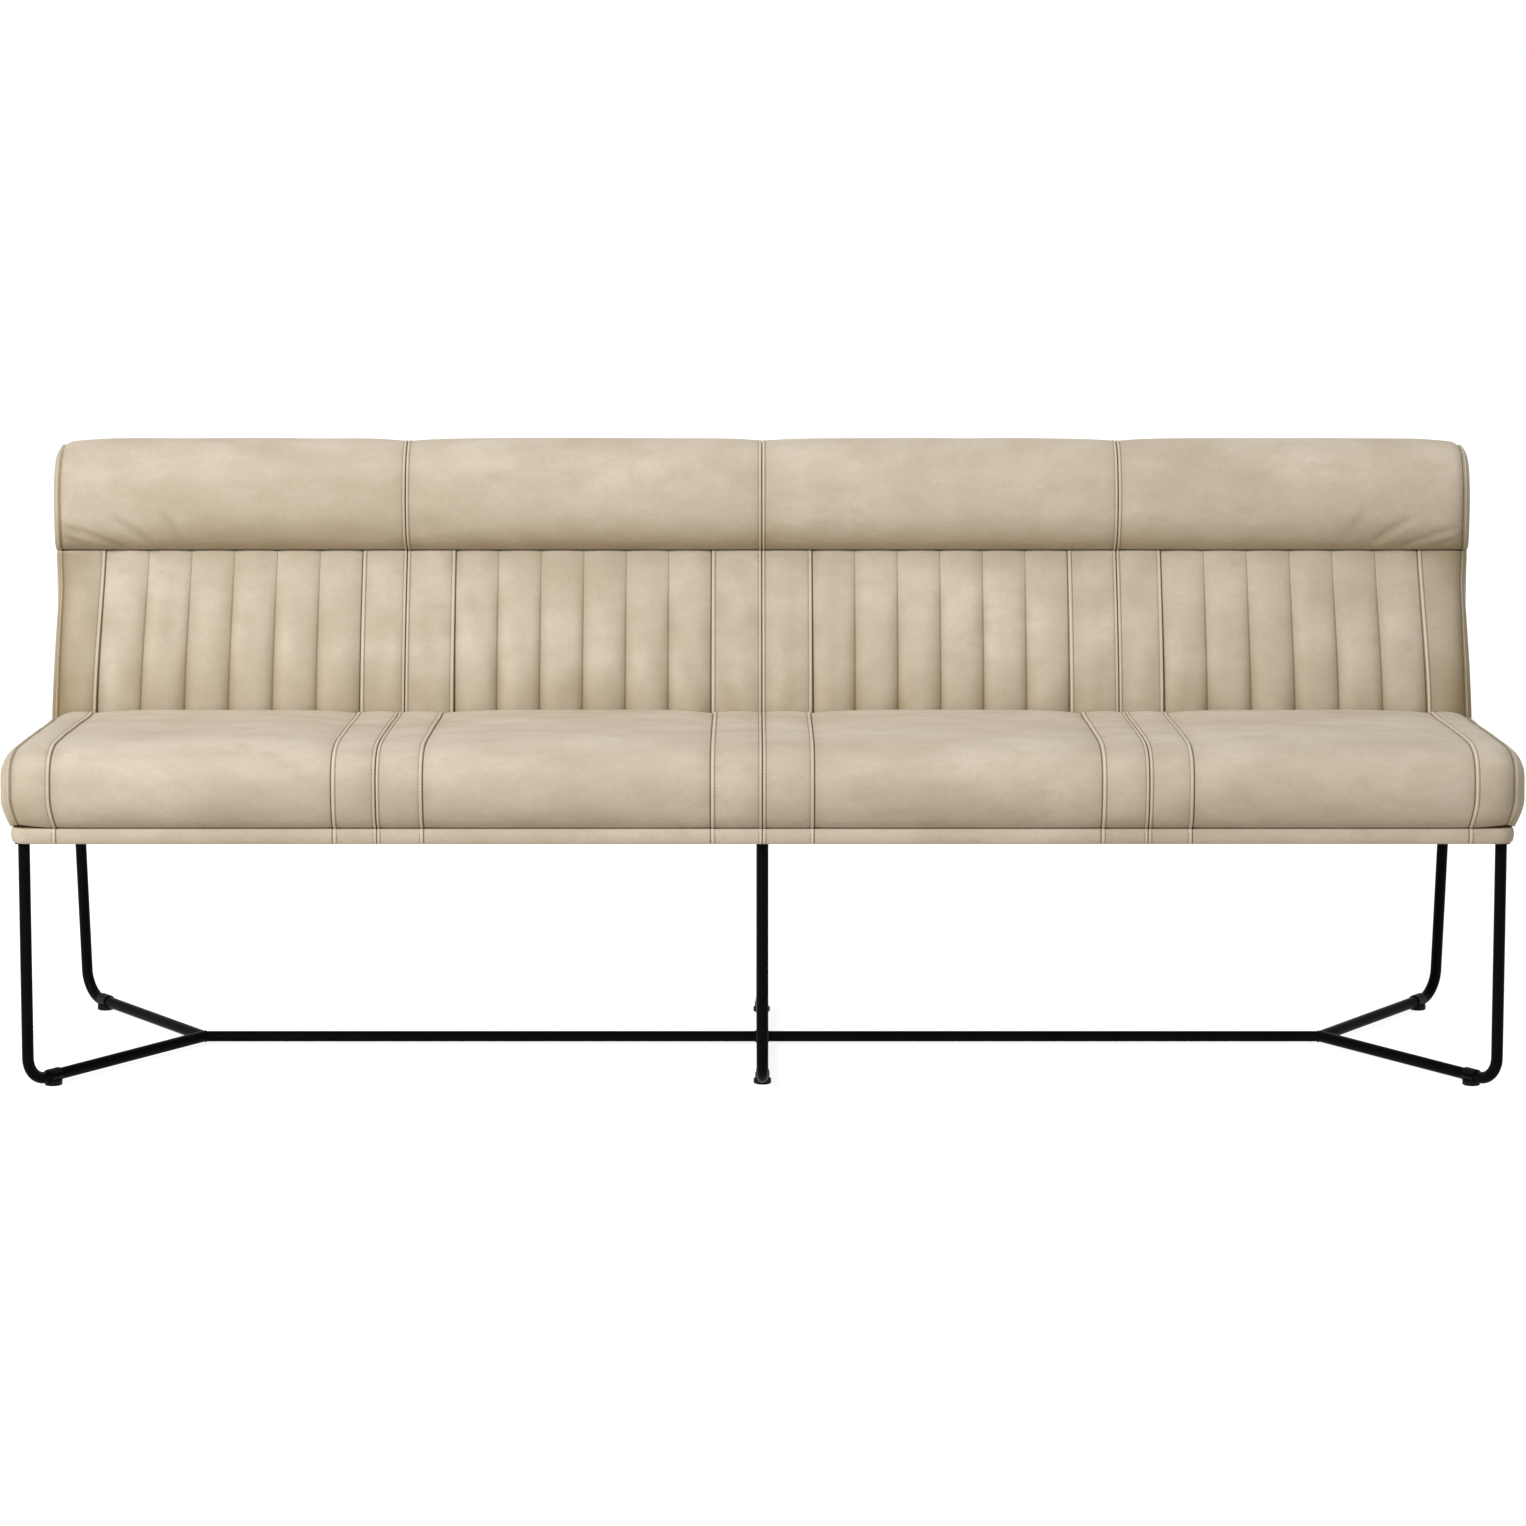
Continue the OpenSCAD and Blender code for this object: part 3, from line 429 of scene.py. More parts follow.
class Cover:
    """A sewn cover section: a grid of points over its outline, closed into a solid piece.

    Places across it are c, along its outline s. Sections 1 and 4 are the ends, and 1 and 2 are mirrored.
    A kind without channels has no field, and a field without stitched lines is one channel. Each kind
    gives its bent ways, which are the ways that an end is drawn in against, and its profile, which is the
    shape between two seams: off runs from 0 in the middle to 1 at the seams. Toward tells its outer side.
    Its hems are the relief, the painted groove shade and the painted ridge highlight along its first and
    last rows.
    """

    dome = 2 * MM
    end_lean = END_LEAN

    def __init__(self, number):
        self.number, self.inner, self.mirrored = number, number in (2, 3), number < 3
        self.seed = self.first_seed + number
        self.length = self.outline.length
        edge = self.end_x - self.end_r + self.end_r * self.edge_turn
        self.low = 0 if self.inner else self.boundary
        self.high = self.boundary if self.inner else self.end_x + self.end_r * (math.pi / 2 - 1)
        self.seams = section_seams(self.boundary, self.fields, self.channels, self.inner, edge)
        self.panels = [self.low] + [s.at for s in self.seams if self.low < s.at < self.high] + [self.high]
        self.bulge = None

    def row_places(self):
        edge = EDGE_ROWS[-1]
        inside = np.arange(edge + ROW_STEP * 0.8, self.length - edge - ROW_STEP * 0.5, ROW_STEP)
        return np.concatenate([EDGE_ROWS, inside, self.length - EDGE_ROWS[::-1]])

    def across(self, c):
        """Across places unrolled round an end: X, how far the outline is drawn in, and the turn."""
        if self.inner:
            return c, 0 * c, 0 * c
        start = self.end_x - self.end_r
        turn = np.clip((c - start) / self.end_r, 0, math.pi / 2)
        x = np.where(c < start, c, start + self.end_r * np.sin(turn))
        return x, self.end_r * (1 - np.cos(turn)), turn

    def draw_share(self, s):
        """How much of the end's rounding the outline takes."""
        return 1 + 0 * s

    def surface(self, c, s, lift):
        """Points of the grid with rows at s and columns at c, lifted off the smooth shape."""
        out = self.outline.normal(s)
        inward = -unit(self.bent_ways(s, self.outline.normal(s, BROAD_SPREAD)))
        x, drawn, turn = self.across(c)
        moved = inward[:, None] * drawn[None, :, None] * self.draw_share(s)[:, None, None]
        p = self.outline.at(s)[:, None] + moved + out[:, None] * (lift * np.cos(turn))[..., None]
        x = np.broadcast_to(x, lift.shape) + lift * np.sin(turn)
        x = x + self.end_shift(c[None], s[:, None])
        return np.concatenate([x[..., None], self.place(p)], axis=-1)

    def strip_share(self, c):
        """How far across the outermost strip a place lies, from 0 to 1 at the edge seam."""
        start, end = self.panels[-3], self.panels[-2]
        return np.clip((c - start) / (end - start), 0, 1)

    def lean(self, c, s):
        """How far the outermost strip falls back towards the edge seam."""
        if self.inner:
            return 0
        return -self.end_lean * self.strip_share(c) ** 2 * self.free(s)

    def free(self, s):
        """1 where the outermost strip may fall back, 0 where another piece holds it."""
        return 1 + 0 * s

    def form(self, c, s):
        """The padding's own shape between the seams, without the sewing."""
        total = np.zeros((len(s), len(c)))
        for a, b in zip(self.panels[:-1], self.panels[1:]):
            inside = (c >= a) & (c <= b)
            off = np.abs(2 * (c[inside] - a) / (b - a) - 1)
            if not self.inner and b == self.high:
                total[:, inside] = GUSSET_SWELL * (1 - off ** 2)[None]
            else:
                total[:, inside] = self.profile(off, a, b)[None] * self.fullness(s)[:, None]
        return total

    def before_end(self, c):
        """1 over the piece, falling to 0 from the edge seam to the end."""
        if self.inner:
            return 1
        return 1 - smooth(self.panels[-2], self.high - 2 * MM, c)

    def seam_depth(self, seam, s):
        """How much of a seam's relief shows along the outline."""
        return 1 + 0 * s

    def build(self):
        c = spread_places(self.low, self.high, COLUMN_STEP, self.seams)
        s = self.row_places()
        lift = self.form(c, s) + self.lean(c[None], s[:, None])
        lift = lift + self.creases(c[None], s[:, None]) * self.before_end(c)
        if self.bulge is not None:
            lift = lift + self.bulge(c, s)
        depths = [self.seam_depth(seam, s)[:, None] for seam in self.seams]
        for seam, depth in zip(self.seams, depths):
            lift = lift + seam.relief(c)[None] * depth
        hem, hem_shade, hem_highlight = (part[:, None] for part in self.hems(s))
        lift = lift + hem * self.before_end(c)
        self.c, self.grid = c, self.surface(c, s, lift)
        self.grid[:, 0, 0] += PIECE_GAP
        if self.inner:
            self.grid[:, -1, 0] -= PIECE_GAP
        if self.mirrored:
            self.grid[..., 0] *= -1
        # Painted shade and highlight: darker leather in the seam grooves, lighter leather on the raised laps
        # and beads, and broad painted shade near the seams, in the channel valleys and where the kind puts
        # it, with a little random mottle.
        seam_shade = sum(seam.seam_shade(c)[None] * depth for seam, depth in zip(self.seams, depths))
        ridge_highlight = sum(seam.ridge_highlight(c)[None] for seam in self.seams)
        painted_shade = sum(seam.painted_shade(c)[None] * depth for seam, depth in zip(self.seams, depths))
        shade_and_mottle = self.shade_and_mottle(c[None], s[:, None]) * self.before_end(c)
        self.paints = {"seam_shade": np.clip(seam_shade + hem_shade, 0, 1),
                       "ridge_highlight": np.clip(ridge_highlight + hem_highlight, 0, 1),
                       "painted_shade": np.clip(painted_shade + shade_and_mottle, 0, 1)}
        return self.close()

    def close(self):
        """The closed piece: hidden sides behind the grid and, at an end, rings towards its middle."""
        rows, columns = self.grid.shape[:2]
        rings = []
        for k in range(columns):
            ring = self.grid[:, k]
            corners = np.concatenate([ring[-1:], self.closing(ring[0], ring[-1]), ring[:1]])
            parts = [a + (b - a) * share for a, b in zip(corners[:-1], corners[1:])
                     for share in np.arange(HIDDEN_PARTS) / HIDDEN_PARTS]
            rings.append(np.concatenate([ring, parts[1:]]))
        if not self.inner:
            rings += self.end_rings(rings[-1])
        points = np.concatenate(rings)
        n, m = len(rings[0]), len(rings)
        faces = [(a, d, c, b) for a, b, c, d in ring_faces(m, n)]
        faces.append(tuple(range(n - 1, -1, -1)))
        faces.append(tuple((m - 1) * n + j for j in range(n)))
        if not self.mirrored:
            faces = [f[::-1] for f in faces]
        shaded_smooth = np.ones(len(faces), bool)
        shaded_smooth[-2] = False
        shaded_smooth[-1] = not self.inner
        piece = mesh_object(f"{self.title}_{self.number}", points, faces, shaded_smooth)
        for name, values in self.paints.items():
            painted = np.zeros((m, n))
            painted[:columns, :rows] = values.T
            paint(piece, name, painted)
        return piece

    def end_rings(self, last):
        """Rings that close the end, each smaller than the one before and a little further out."""
        middle = (last.min(axis=0) + last.max(axis=0)) / 2
        bow = self.dome * (-1 if self.mirrored else 1)
        rings = []
        for share in END_SHARES:
            ring = last + (middle - last) * share
            ring[:, 0] = middle[0] + (last[:, 0] - middle[0]) * (1 - smooth(0, 0.6, share))
            ring[:, 0] += bow * (1 - (1 - share) ** 2)
            rings.append(ring)
        return rings

    def stitch_line(self, place):
        """Points and outward ways along the surface at a place across the piece."""
        k = int(np.abs(self.c - place).argmin())
        line = self.grid[:, k]
        beside = self.grid[:, min(k + 1, self.grid.shape[1] - 1)] - self.grid[:, max(k - 1, 0)]
        out = unit(np.cross(np.gradient(line, axis=0), beside))
        half = len(out) // 2
        if out[half] @ (line[half] - self.grid.mean(axis=(0, 1)) + self.toward) < 0:
            out = -out
        return line, out


class SeatCover(Cover):
    title, node, slot, stitching, fill = "seat_section", "seat_cover", "seat_leather", "seat_stitching", 0.75
    outline, boundary, fields, channels = pad_outline(), SEAT_BOUNDARY, SEAT_FIELDS, 1
    end_x, end_r, edge_turn = HALF_W, PAD_END_R, SEAT_EDGE_TURN
    first_seed, cloth_cell, cloth_cap = 100, 9 * MM, 2.5 * MM
    dome = 1.5 * MM
    toward = np.array([0, -0.05, 0.1])

    def place(self, p):
        return p

    def bent_ways(self, s, ways):
        up = np.maximum(ways[:, 1], 0) * smooth(0, 60 * MM, s)
        rear = smooth(self.length - 60 * MM, self.length - 5 * MM, s)
        return np.stack([ways[:, 0] * (1 - rear) + up * math.tan(BACK_RAKE) * rear, up], axis=-1)

    def draw_share(self, s):
        return 0.35 + 0.65 * smooth(0, 70 * MM, s)

    def end_shift(self, c, s):
        """The end bulges past the deck, most at its upper edge, and tapers towards its foot."""
        if self.inner:
            return 0
        side = smooth(self.end_x - 70 * MM, self.end_x + 5 * MM, c)
        edge = bell(c - self.end_x + 14 * MM, 24 * MM)
        foot = FOOT_BULGE * bell(c - self.panels[-2], 16 * MM)
        rise = smooth(0, 50 * MM, s)
        taper = PAD_END_TAPER * smooth(0.9, 1.06, c) * (1 - smooth(0, 55 * MM, s))
        return (END_BULGE * side + EDGE_BULGE * edge) * rise + foot * (1 - rise) - taper

    def profile(self, off, a, b):
        if b - a < STRIP_LIMIT:
            return -STRIP_CROWN * off ** 2 - STRIP_SINK
        return -SEAT_CROWN * off ** 6

    def fullness(self, s):
        return smooth(-10 * MM, 50 * MM, s)

    def creases(self, c, s):
        share = s / self.length
        rear = smooth(0.62, 0.8, share) * (1 - smooth(0.92, 0.99, share))
        at_seams = sum(bell(c - seam.at, 12 * MM) for seam in self.seams)
        folds = 1.1 * MM * rear * (1 - 0.8 * np.clip(at_seams, 0, 1))
        low = 0.35 * MM * ripple(c, s, 0.16, 0.11, self.seed + 3)
        return folds * ripple(c, s, 0.34, 0.05, self.seed + 11) + low * smooth(0, 40 * MM, s)

    # Hems: a rounded groove at the foot with painted shade in it, and a painted highlight just before the
    # rear edge.
    def hems(self, s):
        return (-1.2 * MM * bell(s, 2.5 * MM), 0.75 * bell(s, 1.4 * MM),
                0.5 * bell(s - self.length + 9 * MM, 2 * MM))

    # Painted shade: darker on the low front, which faces the floor, a little darker on the upper front and
    # across the outermost strip, and a small random mottle.
    def shade_and_mottle(self, c, s):
        front = 0.22 * bell(s - 6 * MM, 36 * MM) + 0.09 * bell(s - 115 * MM, 40 * MM)
        end = 0 if self.inner else 0.1 * smooth(self.panels[-3], self.panels[-2], c)
        return front + end + 0.05 * ripple(c, s, 0.12, 0.08, self.seed + 31)

    def closing(self, first, last):
        """Hidden points that close a ring, from its last visible point back to its first."""
        middle_z = (first[2] + last[2]) / 2
        return np.array([(last[0], face_y(FOOT_T, middle_z) - REST_GAP, middle_z),
                         (first[0], face_y(FOOT_T, first[2]) - REST_GAP, first[2])])


class BackCover(Cover):
    """What the channelled back and the head roll share. The groove lies between them."""

    slot, boundary, fields = "back_leather", BACK_BOUNDARY, BACK_FIELDS
    end_x, end_r, edge_turn = BACK_HALF_W, BACK_END_R, BACK_EDGE_TURN
    first_seed = 200
    toward = np.array([0, -0.3, 0])

    def place(self, p):
        return back_point(p)

    def end_shift(self, c, s):
        """The side panel runs straight past the groove, so the edge stands out more there."""
        if self.inner:
            return 0
        edge = self.panels[-2]
        side = smooth(edge - 12 * MM, edge + 12 * MM, c)
        off = self.groove_distance(s)
        push = SIDE_PUSH * bell(off, 45 * MM) + self.foot_push * np.clip(off / FOOT_PUSH_LENGTH, 0, 1)
        return push * side + self.skew(c, s)

    def skew(self, c, s):
        return 0

    def free(self, s):
        return smooth(0, 60 * MM, self.groove_distance(s))

    def closing(self, first, last):
        """Hidden points that close a ring, from its last visible point back to its first."""
        sine, cosine = math.sin(BACK_RAKE), math.cos(BACK_RAKE)
        rear_h = (last[1] - BACK_FOOT_Y) * sine + (last[2] - DECK_Z) * cosine - self.rear_drop
        rear_top = self.place(np.array([SHELL_T, rear_h]))
        rear_low = self.place(np.array([SHELL_T, self.low_h]))
        return np.array([(last[0], *rear_top), ((first[0] + last[0]) / 2, *rear_low)])


class LumbarCover(BackCover):
    title, node, stitching, fill = "back_section", "back_cover", "back_stitching", 0.7
    outline, channels = lumbar_outline(), CHANNELS
    cloth_cell, cloth_cap = 8 * MM, 1.5 * MM
    foot_push, rear_drop = FOOT_PUSH, 0
    low_h = -SHELL_T * math.tan(BACK_RAKE)

    def groove_distance(self, s):
        return self.length - s

    def skew(self, c, s):
        """The channels lean inwards as they rise, the outermost seam most."""
        start, seam = self.fields[1]
        near = np.clip((c - start) / (seam - start), 0, 1) * (1 - smooth(seam, self.panels[-2], c))
        return -FIELD_SKEW * near * smooth(0.2, 1, s / self.length)

    def bent_ways(self, s, ways):
        ends = (1 - smooth(0, 40 * MM, s)) + smooth(self.length - 40 * MM, self.length, s)
        return ways * np.stack([1 + 0 * s, 1 - ends], axis=-1)

    def profile(self, off, a, b):
        if any(low - 1e-9 <= a and b <= high + 1e-9 for low, high in self.fields):
            return -CHANNEL_CROWN * off ** 2.5
        return -BACK_STRIP_CROWN * off ** 2

    def fullness(self, s):
        return 0.35 + 0.95 * (1 - smooth(0.3 * self.length, self.length, s))

    def seam_depth(self, seam, s):
        """The channels are shallow just below the groove."""
        if not isinstance(seam, Channel):
            return 1 + 0 * s
        return 1 - 0.75 * smooth(0.7 * self.length, 0.97 * self.length, s)

    def creases(self, c, s):
        return 0.3 * MM * ripple(c, s, 0.12, 0.09, self.seed + 5)

    # Hems: painted shade in the groove under the head roll and a painted highlight on the ridge just below
    # it.
    def hems(self, s):
        top = self.length - s
        return (0.7 * MM * bell(top - 2.4 * MM, 1.4 * MM) - 0.6 * MM * bell(top, 0.7 * MM),
                0.35 * bell(top, 0.7 * MM), 0.7 * bell(top - 2.4 * MM, 1.3 * MM))

    # Painted shade: dark at the foot behind the seat, slightly darker at mid height, darker across the
    # outermost strip towards its edge seam, and a random mottle.
    def shade_and_mottle(self, c, s):
        foot = 0.46 * (1 - smooth(90 * MM, 220 * MM, s)) + 0.08 * bell(s - 215 * MM, 60 * MM)
        end = 0
        if not self.inner:
            end = 0.32 * smooth(0, 0.1, self.strip_share(c)) + 0.35 * self.strip_share(c) ** 2
        return foot + end + 0.11 * ripple(c, s, 0.05, 0.13, self.seed + 31)


# Puckers at the head roll's outer lower corner, in millimetres. Each has its places from the roll's end,
# its places above the groove along the outline, its depth and its width
PUCKERS = (
    ((20, 50, 85, 116), (54, 47, 31, 10), 2.4, 6),
    ((20, 42, 55), (40, 25, 11), 1.6, 4.5),
    ((96, 124, 147, 160), (70, 52, 33, 15), 2.8, 8.5),
    ((170, 184, 200), (76, 56, 30), 1.3, 12))


class RollCover(BackCover):
    title, node, stitching, fill = "head_roll_section", "head_roll", "head_roll_stitching", 0.75
    outline, channels = roll_outline(), 0
    cloth_cell, cloth_cap = 9 * MM, 2.5 * MM
    end_lean, foot_push, rear_drop = 0, 0, REAR_DROP
    low_h = GROOVE_H + PIECE_GAP

    def groove_distance(self, s):
        return s

    def bent_ways(self, s, ways):
        rear = smooth(self.length - 35 * MM, self.length - 2 * MM, s)
        return ways * np.stack([1 - rear, smooth(15 * MM, 95 * MM, s)], axis=-1)

    def profile(self, off, a, b):
        return -ROLL_CROWN * off ** 8

    def fullness(self, s):
        return smooth(-8 * MM, 45 * MM, s)

    def seam_depth(self, seam, s):
        """The edge seam is shallow over the crest."""
        if not isinstance(seam, Edge):
            return 1 + 0 * s
        return 1 - 0.85 * smooth(0.5, 0.68, s / self.length)

    def creases(self, c, s):
        low = 0.4 * MM * ripple(c, s, 0.2, 0.12, self.seed + 7)
        return low * smooth(0, 40 * MM, s) + self.puckers(c, s)[0] + self.shoulder(c, s)

    def shoulder(self, c, s):
        """The crest stands a little higher than the outline, less so towards the end of the sofa."""
        share = s / self.length
        crest = smooth(0.45, 0.7, share) * (1 - smooth(0.85, 1, share))
        if self.inner:
            return CREST_RISE * crest
        end = smooth(self.end_x - 90 * MM, self.end_x, c)
        side = smooth(self.panels[-2] - 3 * MM, self.panels[-2] + 12 * MM, c)
        return (CREST_RISE - CREST_END_FALL * end - CREST_SIDE_FALL * side) * crest

    def puckers(self, c, s):
        """The relief of the puckers, and how far each point lies in one, which sets the painted shade in
        their valleys.
        """
        if self.inner:
            return 0, 0
        from_end = (self.end_x - c) / MM
        relief, inside = 0, 0
        for places, heights, deep, wide in PUCKERS:
            off = (s / MM - np.interp(from_end, places, heights)) / wide
            shown = smooth(places[0] - 12, places[0] + 6, from_end)
            shown = shown * (1 - smooth(places[-1] - 20, places[-1] + 4, from_end))
            relief = relief - deep * MM * shown * (bell(off, 1) - 0.55 * bell(off + 1.7, 1.3))
            inside = inside + shown * bell(off - 0.3, 1)
        return relief * smooth(1 * MM, 8 * MM, s), inside

    # Hems: grooves at the foot and the rear edge, with painted shade in them.
    def hems(self, s):
        rear = s - self.length
        return (-0.5 * MM * bell(s, 1.2 * MM) - 0.8 * MM * bell(rear, 2 * MM),
                0.45 * bell(s, 0.9 * MM) + 0.35 * bell(rear, 1.2 * MM), 0 * s)

    # Painted shade: dark on the underside above the groove, which faces down, slightly darker over the upper
    # roll, darker in the puckers' valleys, and a random mottle.
    def shade_and_mottle(self, c, s):
        low = 0.5 * (1 - smooth(10 * MM, 85 * MM, s))
        upper = 0.1 * smooth(60 * MM, 130 * MM, s)
        return low + upper + 0.24 * self.puckers(c, s)[1] + 0.06 * ripple(c, s, 0.11, 0.07, self.seed + 31)


# Cloth simulation: the leather between pinned seams, pushed out by its padding
SIM_FRAMES = 20
CLOTH_SETTINGS = {
    "quality": 5, "mass": 0.35, "tension_stiffness": 20, "compression_stiffness": 20,
    "shear_stiffness": 10, "bending_stiffness": 8, "use_pressure": True, "uniform_pressure_force": 4.0}
SMOOTHINGS = 3


def blown_sheet(start, faces, held):
    """The sheet's points after the simulation, with the held points pinned."""
    sheet = mesh_object("cloth", start.reshape(-1, 3), faces)
    pins = sheet.vertex_groups.new(name="pins")
    pins.add([int(v) for v in np.flatnonzero(held)], 1.0, "REPLACE")
    cloth = sheet.modifiers.new("cloth", "CLOTH")
    for name, value in CLOTH_SETTINGS.items():
        setattr(cloth.settings, name, value)
    cloth.settings.vertex_group_mass = "pins"
    cloth.settings.effector_weights.gravity = 0
    cloth.point_cache.frame_start = 1
    cloth.point_cache.frame_end = SIM_FRAMES
    for f in range(1, SIM_FRAMES + 1):
        scene.frame_set(f)
    blown = sheet.evaluated_get(bpy.context.evaluated_depsgraph_get()).data
    end = np.empty(start.size, np.float32)
    blown.vertices.foreach_get("co", end)
    bpy.data.objects.remove(sheet)
    scene.frame_set(1)
    return end.reshape(start.shape)


def simulated_bulge(cover):
    """How far the leather moves when it is blown up between its seams, as a function of c and s."""
    cell = cover.cloth_cell
    columns = []
    for a, b in zip(cover.panels[:-1], cover.panels[1:]):
        columns.append(np.linspace(a, b, max(3, int(round((b - a) / cell))) + 1))
    c = np.unique(np.concatenate(columns).round(7))
    s = np.linspace(0, cover.length, int(round(cover.length / cell)) + 1)
    start = cover.surface(c, s, cover.form(c, s))
    rows, cols = start.shape[:2]
    faces = sheet_faces(rows, cols)
    normals = unit(np.cross(np.gradient(start, axis=1), np.gradient(start, axis=0)))
    if normals[rows // 2, cols // 2] @ np.array([0, -1, 0.6]) < 0:
        normals = -normals
        faces = faces[:, ::-1]
    held = np.zeros((rows, cols), bool)
    held[0] = held[-1] = True
    for place in cover.panels:
        held[:, np.abs(c - place).argmin()] = True
    if not cover.inner:
        held[:, c >= cover.panels[-2] - 1e-6] = True
    move = blown_sheet(start, [tuple(int(v) for v in f) for f in faces], held) - start
    out = np.einsum("ijk,ijk->ij", move, normals)
    for _ in range(SMOOTHINGS):
        out[1:-1] = (out[:-2] + 2 * out[1:-1] + out[2:]) / 4
        out[:, 1:-1] = (out[:, :-2] + 2 * out[:, 1:-1] + out[:, 2:]) / 4
        out[held] = 0
    out = cover.cloth_cap * np.tanh(out / cover.cloth_cap)

    def bulge(at_c, at_s):
        total = np.zeros((len(at_s), len(at_c)))
        for a, b in zip(cover.panels[:-1], cover.panels[1:]):
            nodes = (c >= a - 1e-6) & (c <= b + 1e-6)
            wanted = (at_c >= a - 1e-9) & (at_c <= b + 1e-9)
            if wanted.any():
                across = spline(c[nodes], out[:, nodes].T.copy(), at_c[wanted])
                total[:, wanted] = spline(s, across.T.copy(), at_s)
        return total

    return bulge


# Materials
class Tree:
    """The node tree of a material or the world, with short ways to add nodes to it."""

    def __init__(self, owner):
        owner.use_nodes = True
        self.nodes, self.links = owner.node_tree.nodes, owner.node_tree.links

    def put(self, socket, value):
        """Link a socket to an output, or set its number or colour."""
        if hasattr(value, "node"):
            self.links.new(value, socket)
        elif isinstance(value, tuple):
            socket.default_value = (*value, 1)
        else:
            socket.default_value = value

    def add(self, kind, **values):
        node = self.nodes.new(kind)
        for name, value in values.items():
            self.put(node.inputs[name], value)
        return node

    def place(self):
        return self.add("ShaderNodeTexCoord").outputs["Object"]

    def noise(self, vector, scale, detail=3.0, roughness=0.5):
        node = self.add("ShaderNodeTexNoise", Scale=scale, Detail=detail, Roughness=roughness, Vector=vector)
        return node.outputs["Fac"]

    def ramp(self, source, stops):
        """Colours by the source's value. Each stop is a place and a colour or a grey."""
        node = self.add("ShaderNodeValToRGB", Fac=source)
        while len(node.color_ramp.elements) < len(stops):
            node.color_ramp.elements.new(0.5)
        for element, (place, colour) in zip(node.color_ramp.elements, stops):
            element.position = place
            element.color = (*colour, 1) if isinstance(colour, tuple) else (colour, colour, colour, 1)
        return node.outputs["Color"]

    def mix(self, factor, a, b, blend="MIX"):
        node = self.nodes.new("ShaderNodeMix")
        node.data_type = "RGBA"
        node.blend_type = blend
        for k, value in ((0, factor), (6, a), (7, b)):
            self.put(node.inputs[k], value)
        return node.outputs[2]

    def math(self, operation, a, b):
        node = self.nodes.new("ShaderNodeMath")
        node.operation = operation
        self.put(node.inputs[0], a)
        self.put(node.inputs[1], b)
        return node.outputs[0]

    def bump(self, height, strength, distance, before=None):
        node = self.add("ShaderNodeBump", Strength=strength, Distance=distance, Height=height)
        if before is not None:
            self.put(node.inputs["Normal"], before)
        return node.outputs["Normal"]

    def attribute(self, name, strength):
        node = self.nodes.new("ShaderNodeAttribute")
        node.attribute_name = name
        return self.math("MULTIPLY", node.outputs["Fac"], strength)

    def light_path_sum(self):
        """1 for rays that see the backdrop directly, through glass or in a reflection."""
        path = self.nodes.new("ShaderNodeLightPath")
        total = self.math("ADD", path.outputs["Is Camera Ray"], path.outputs["Is Glossy Ray"])
        total = self.math("ADD", total, path.outputs["Is Transmission Ray"])
        return self.math("MINIMUM", total, 1.0)


def new_material(name):
    material = bpy.data.materials.new(name)
    tree = Tree(material)
    return material, tree, tree.nodes["Principled BSDF"]


LEATHER = (0.585, 0.508, 0.404)
LEATHER_PALE = (0.66, 0.585, 0.48)
LEATHER_DEEP = (0.51, 0.435, 0.33)
LEATHER_OLIVE = (0.52, 0.46, 0.345)
# The leather's own tones, then the colours of painted shade in the seam grooves, of broad painted shade and
# of painted highlight on raised laps and beads
SEAM_SHADE_BROWN = (0.12, 0.082, 0.045)
SHADE_BROWN = (0.29, 0.222, 0.125)
RIDGE_HIGHLIGHT = (0.80, 0.71, 0.58)
CLOUD_STRETCH = (0.7, 1.1, 1.25)

# How fine the leather's patterns are, in waves to the metre
CLOUDS, BLOTS, SOFT_BUMPS, FLECKS, GRAIN, PORES = 8.0, 26.0, 70.0, 120.0, 420.0, 900


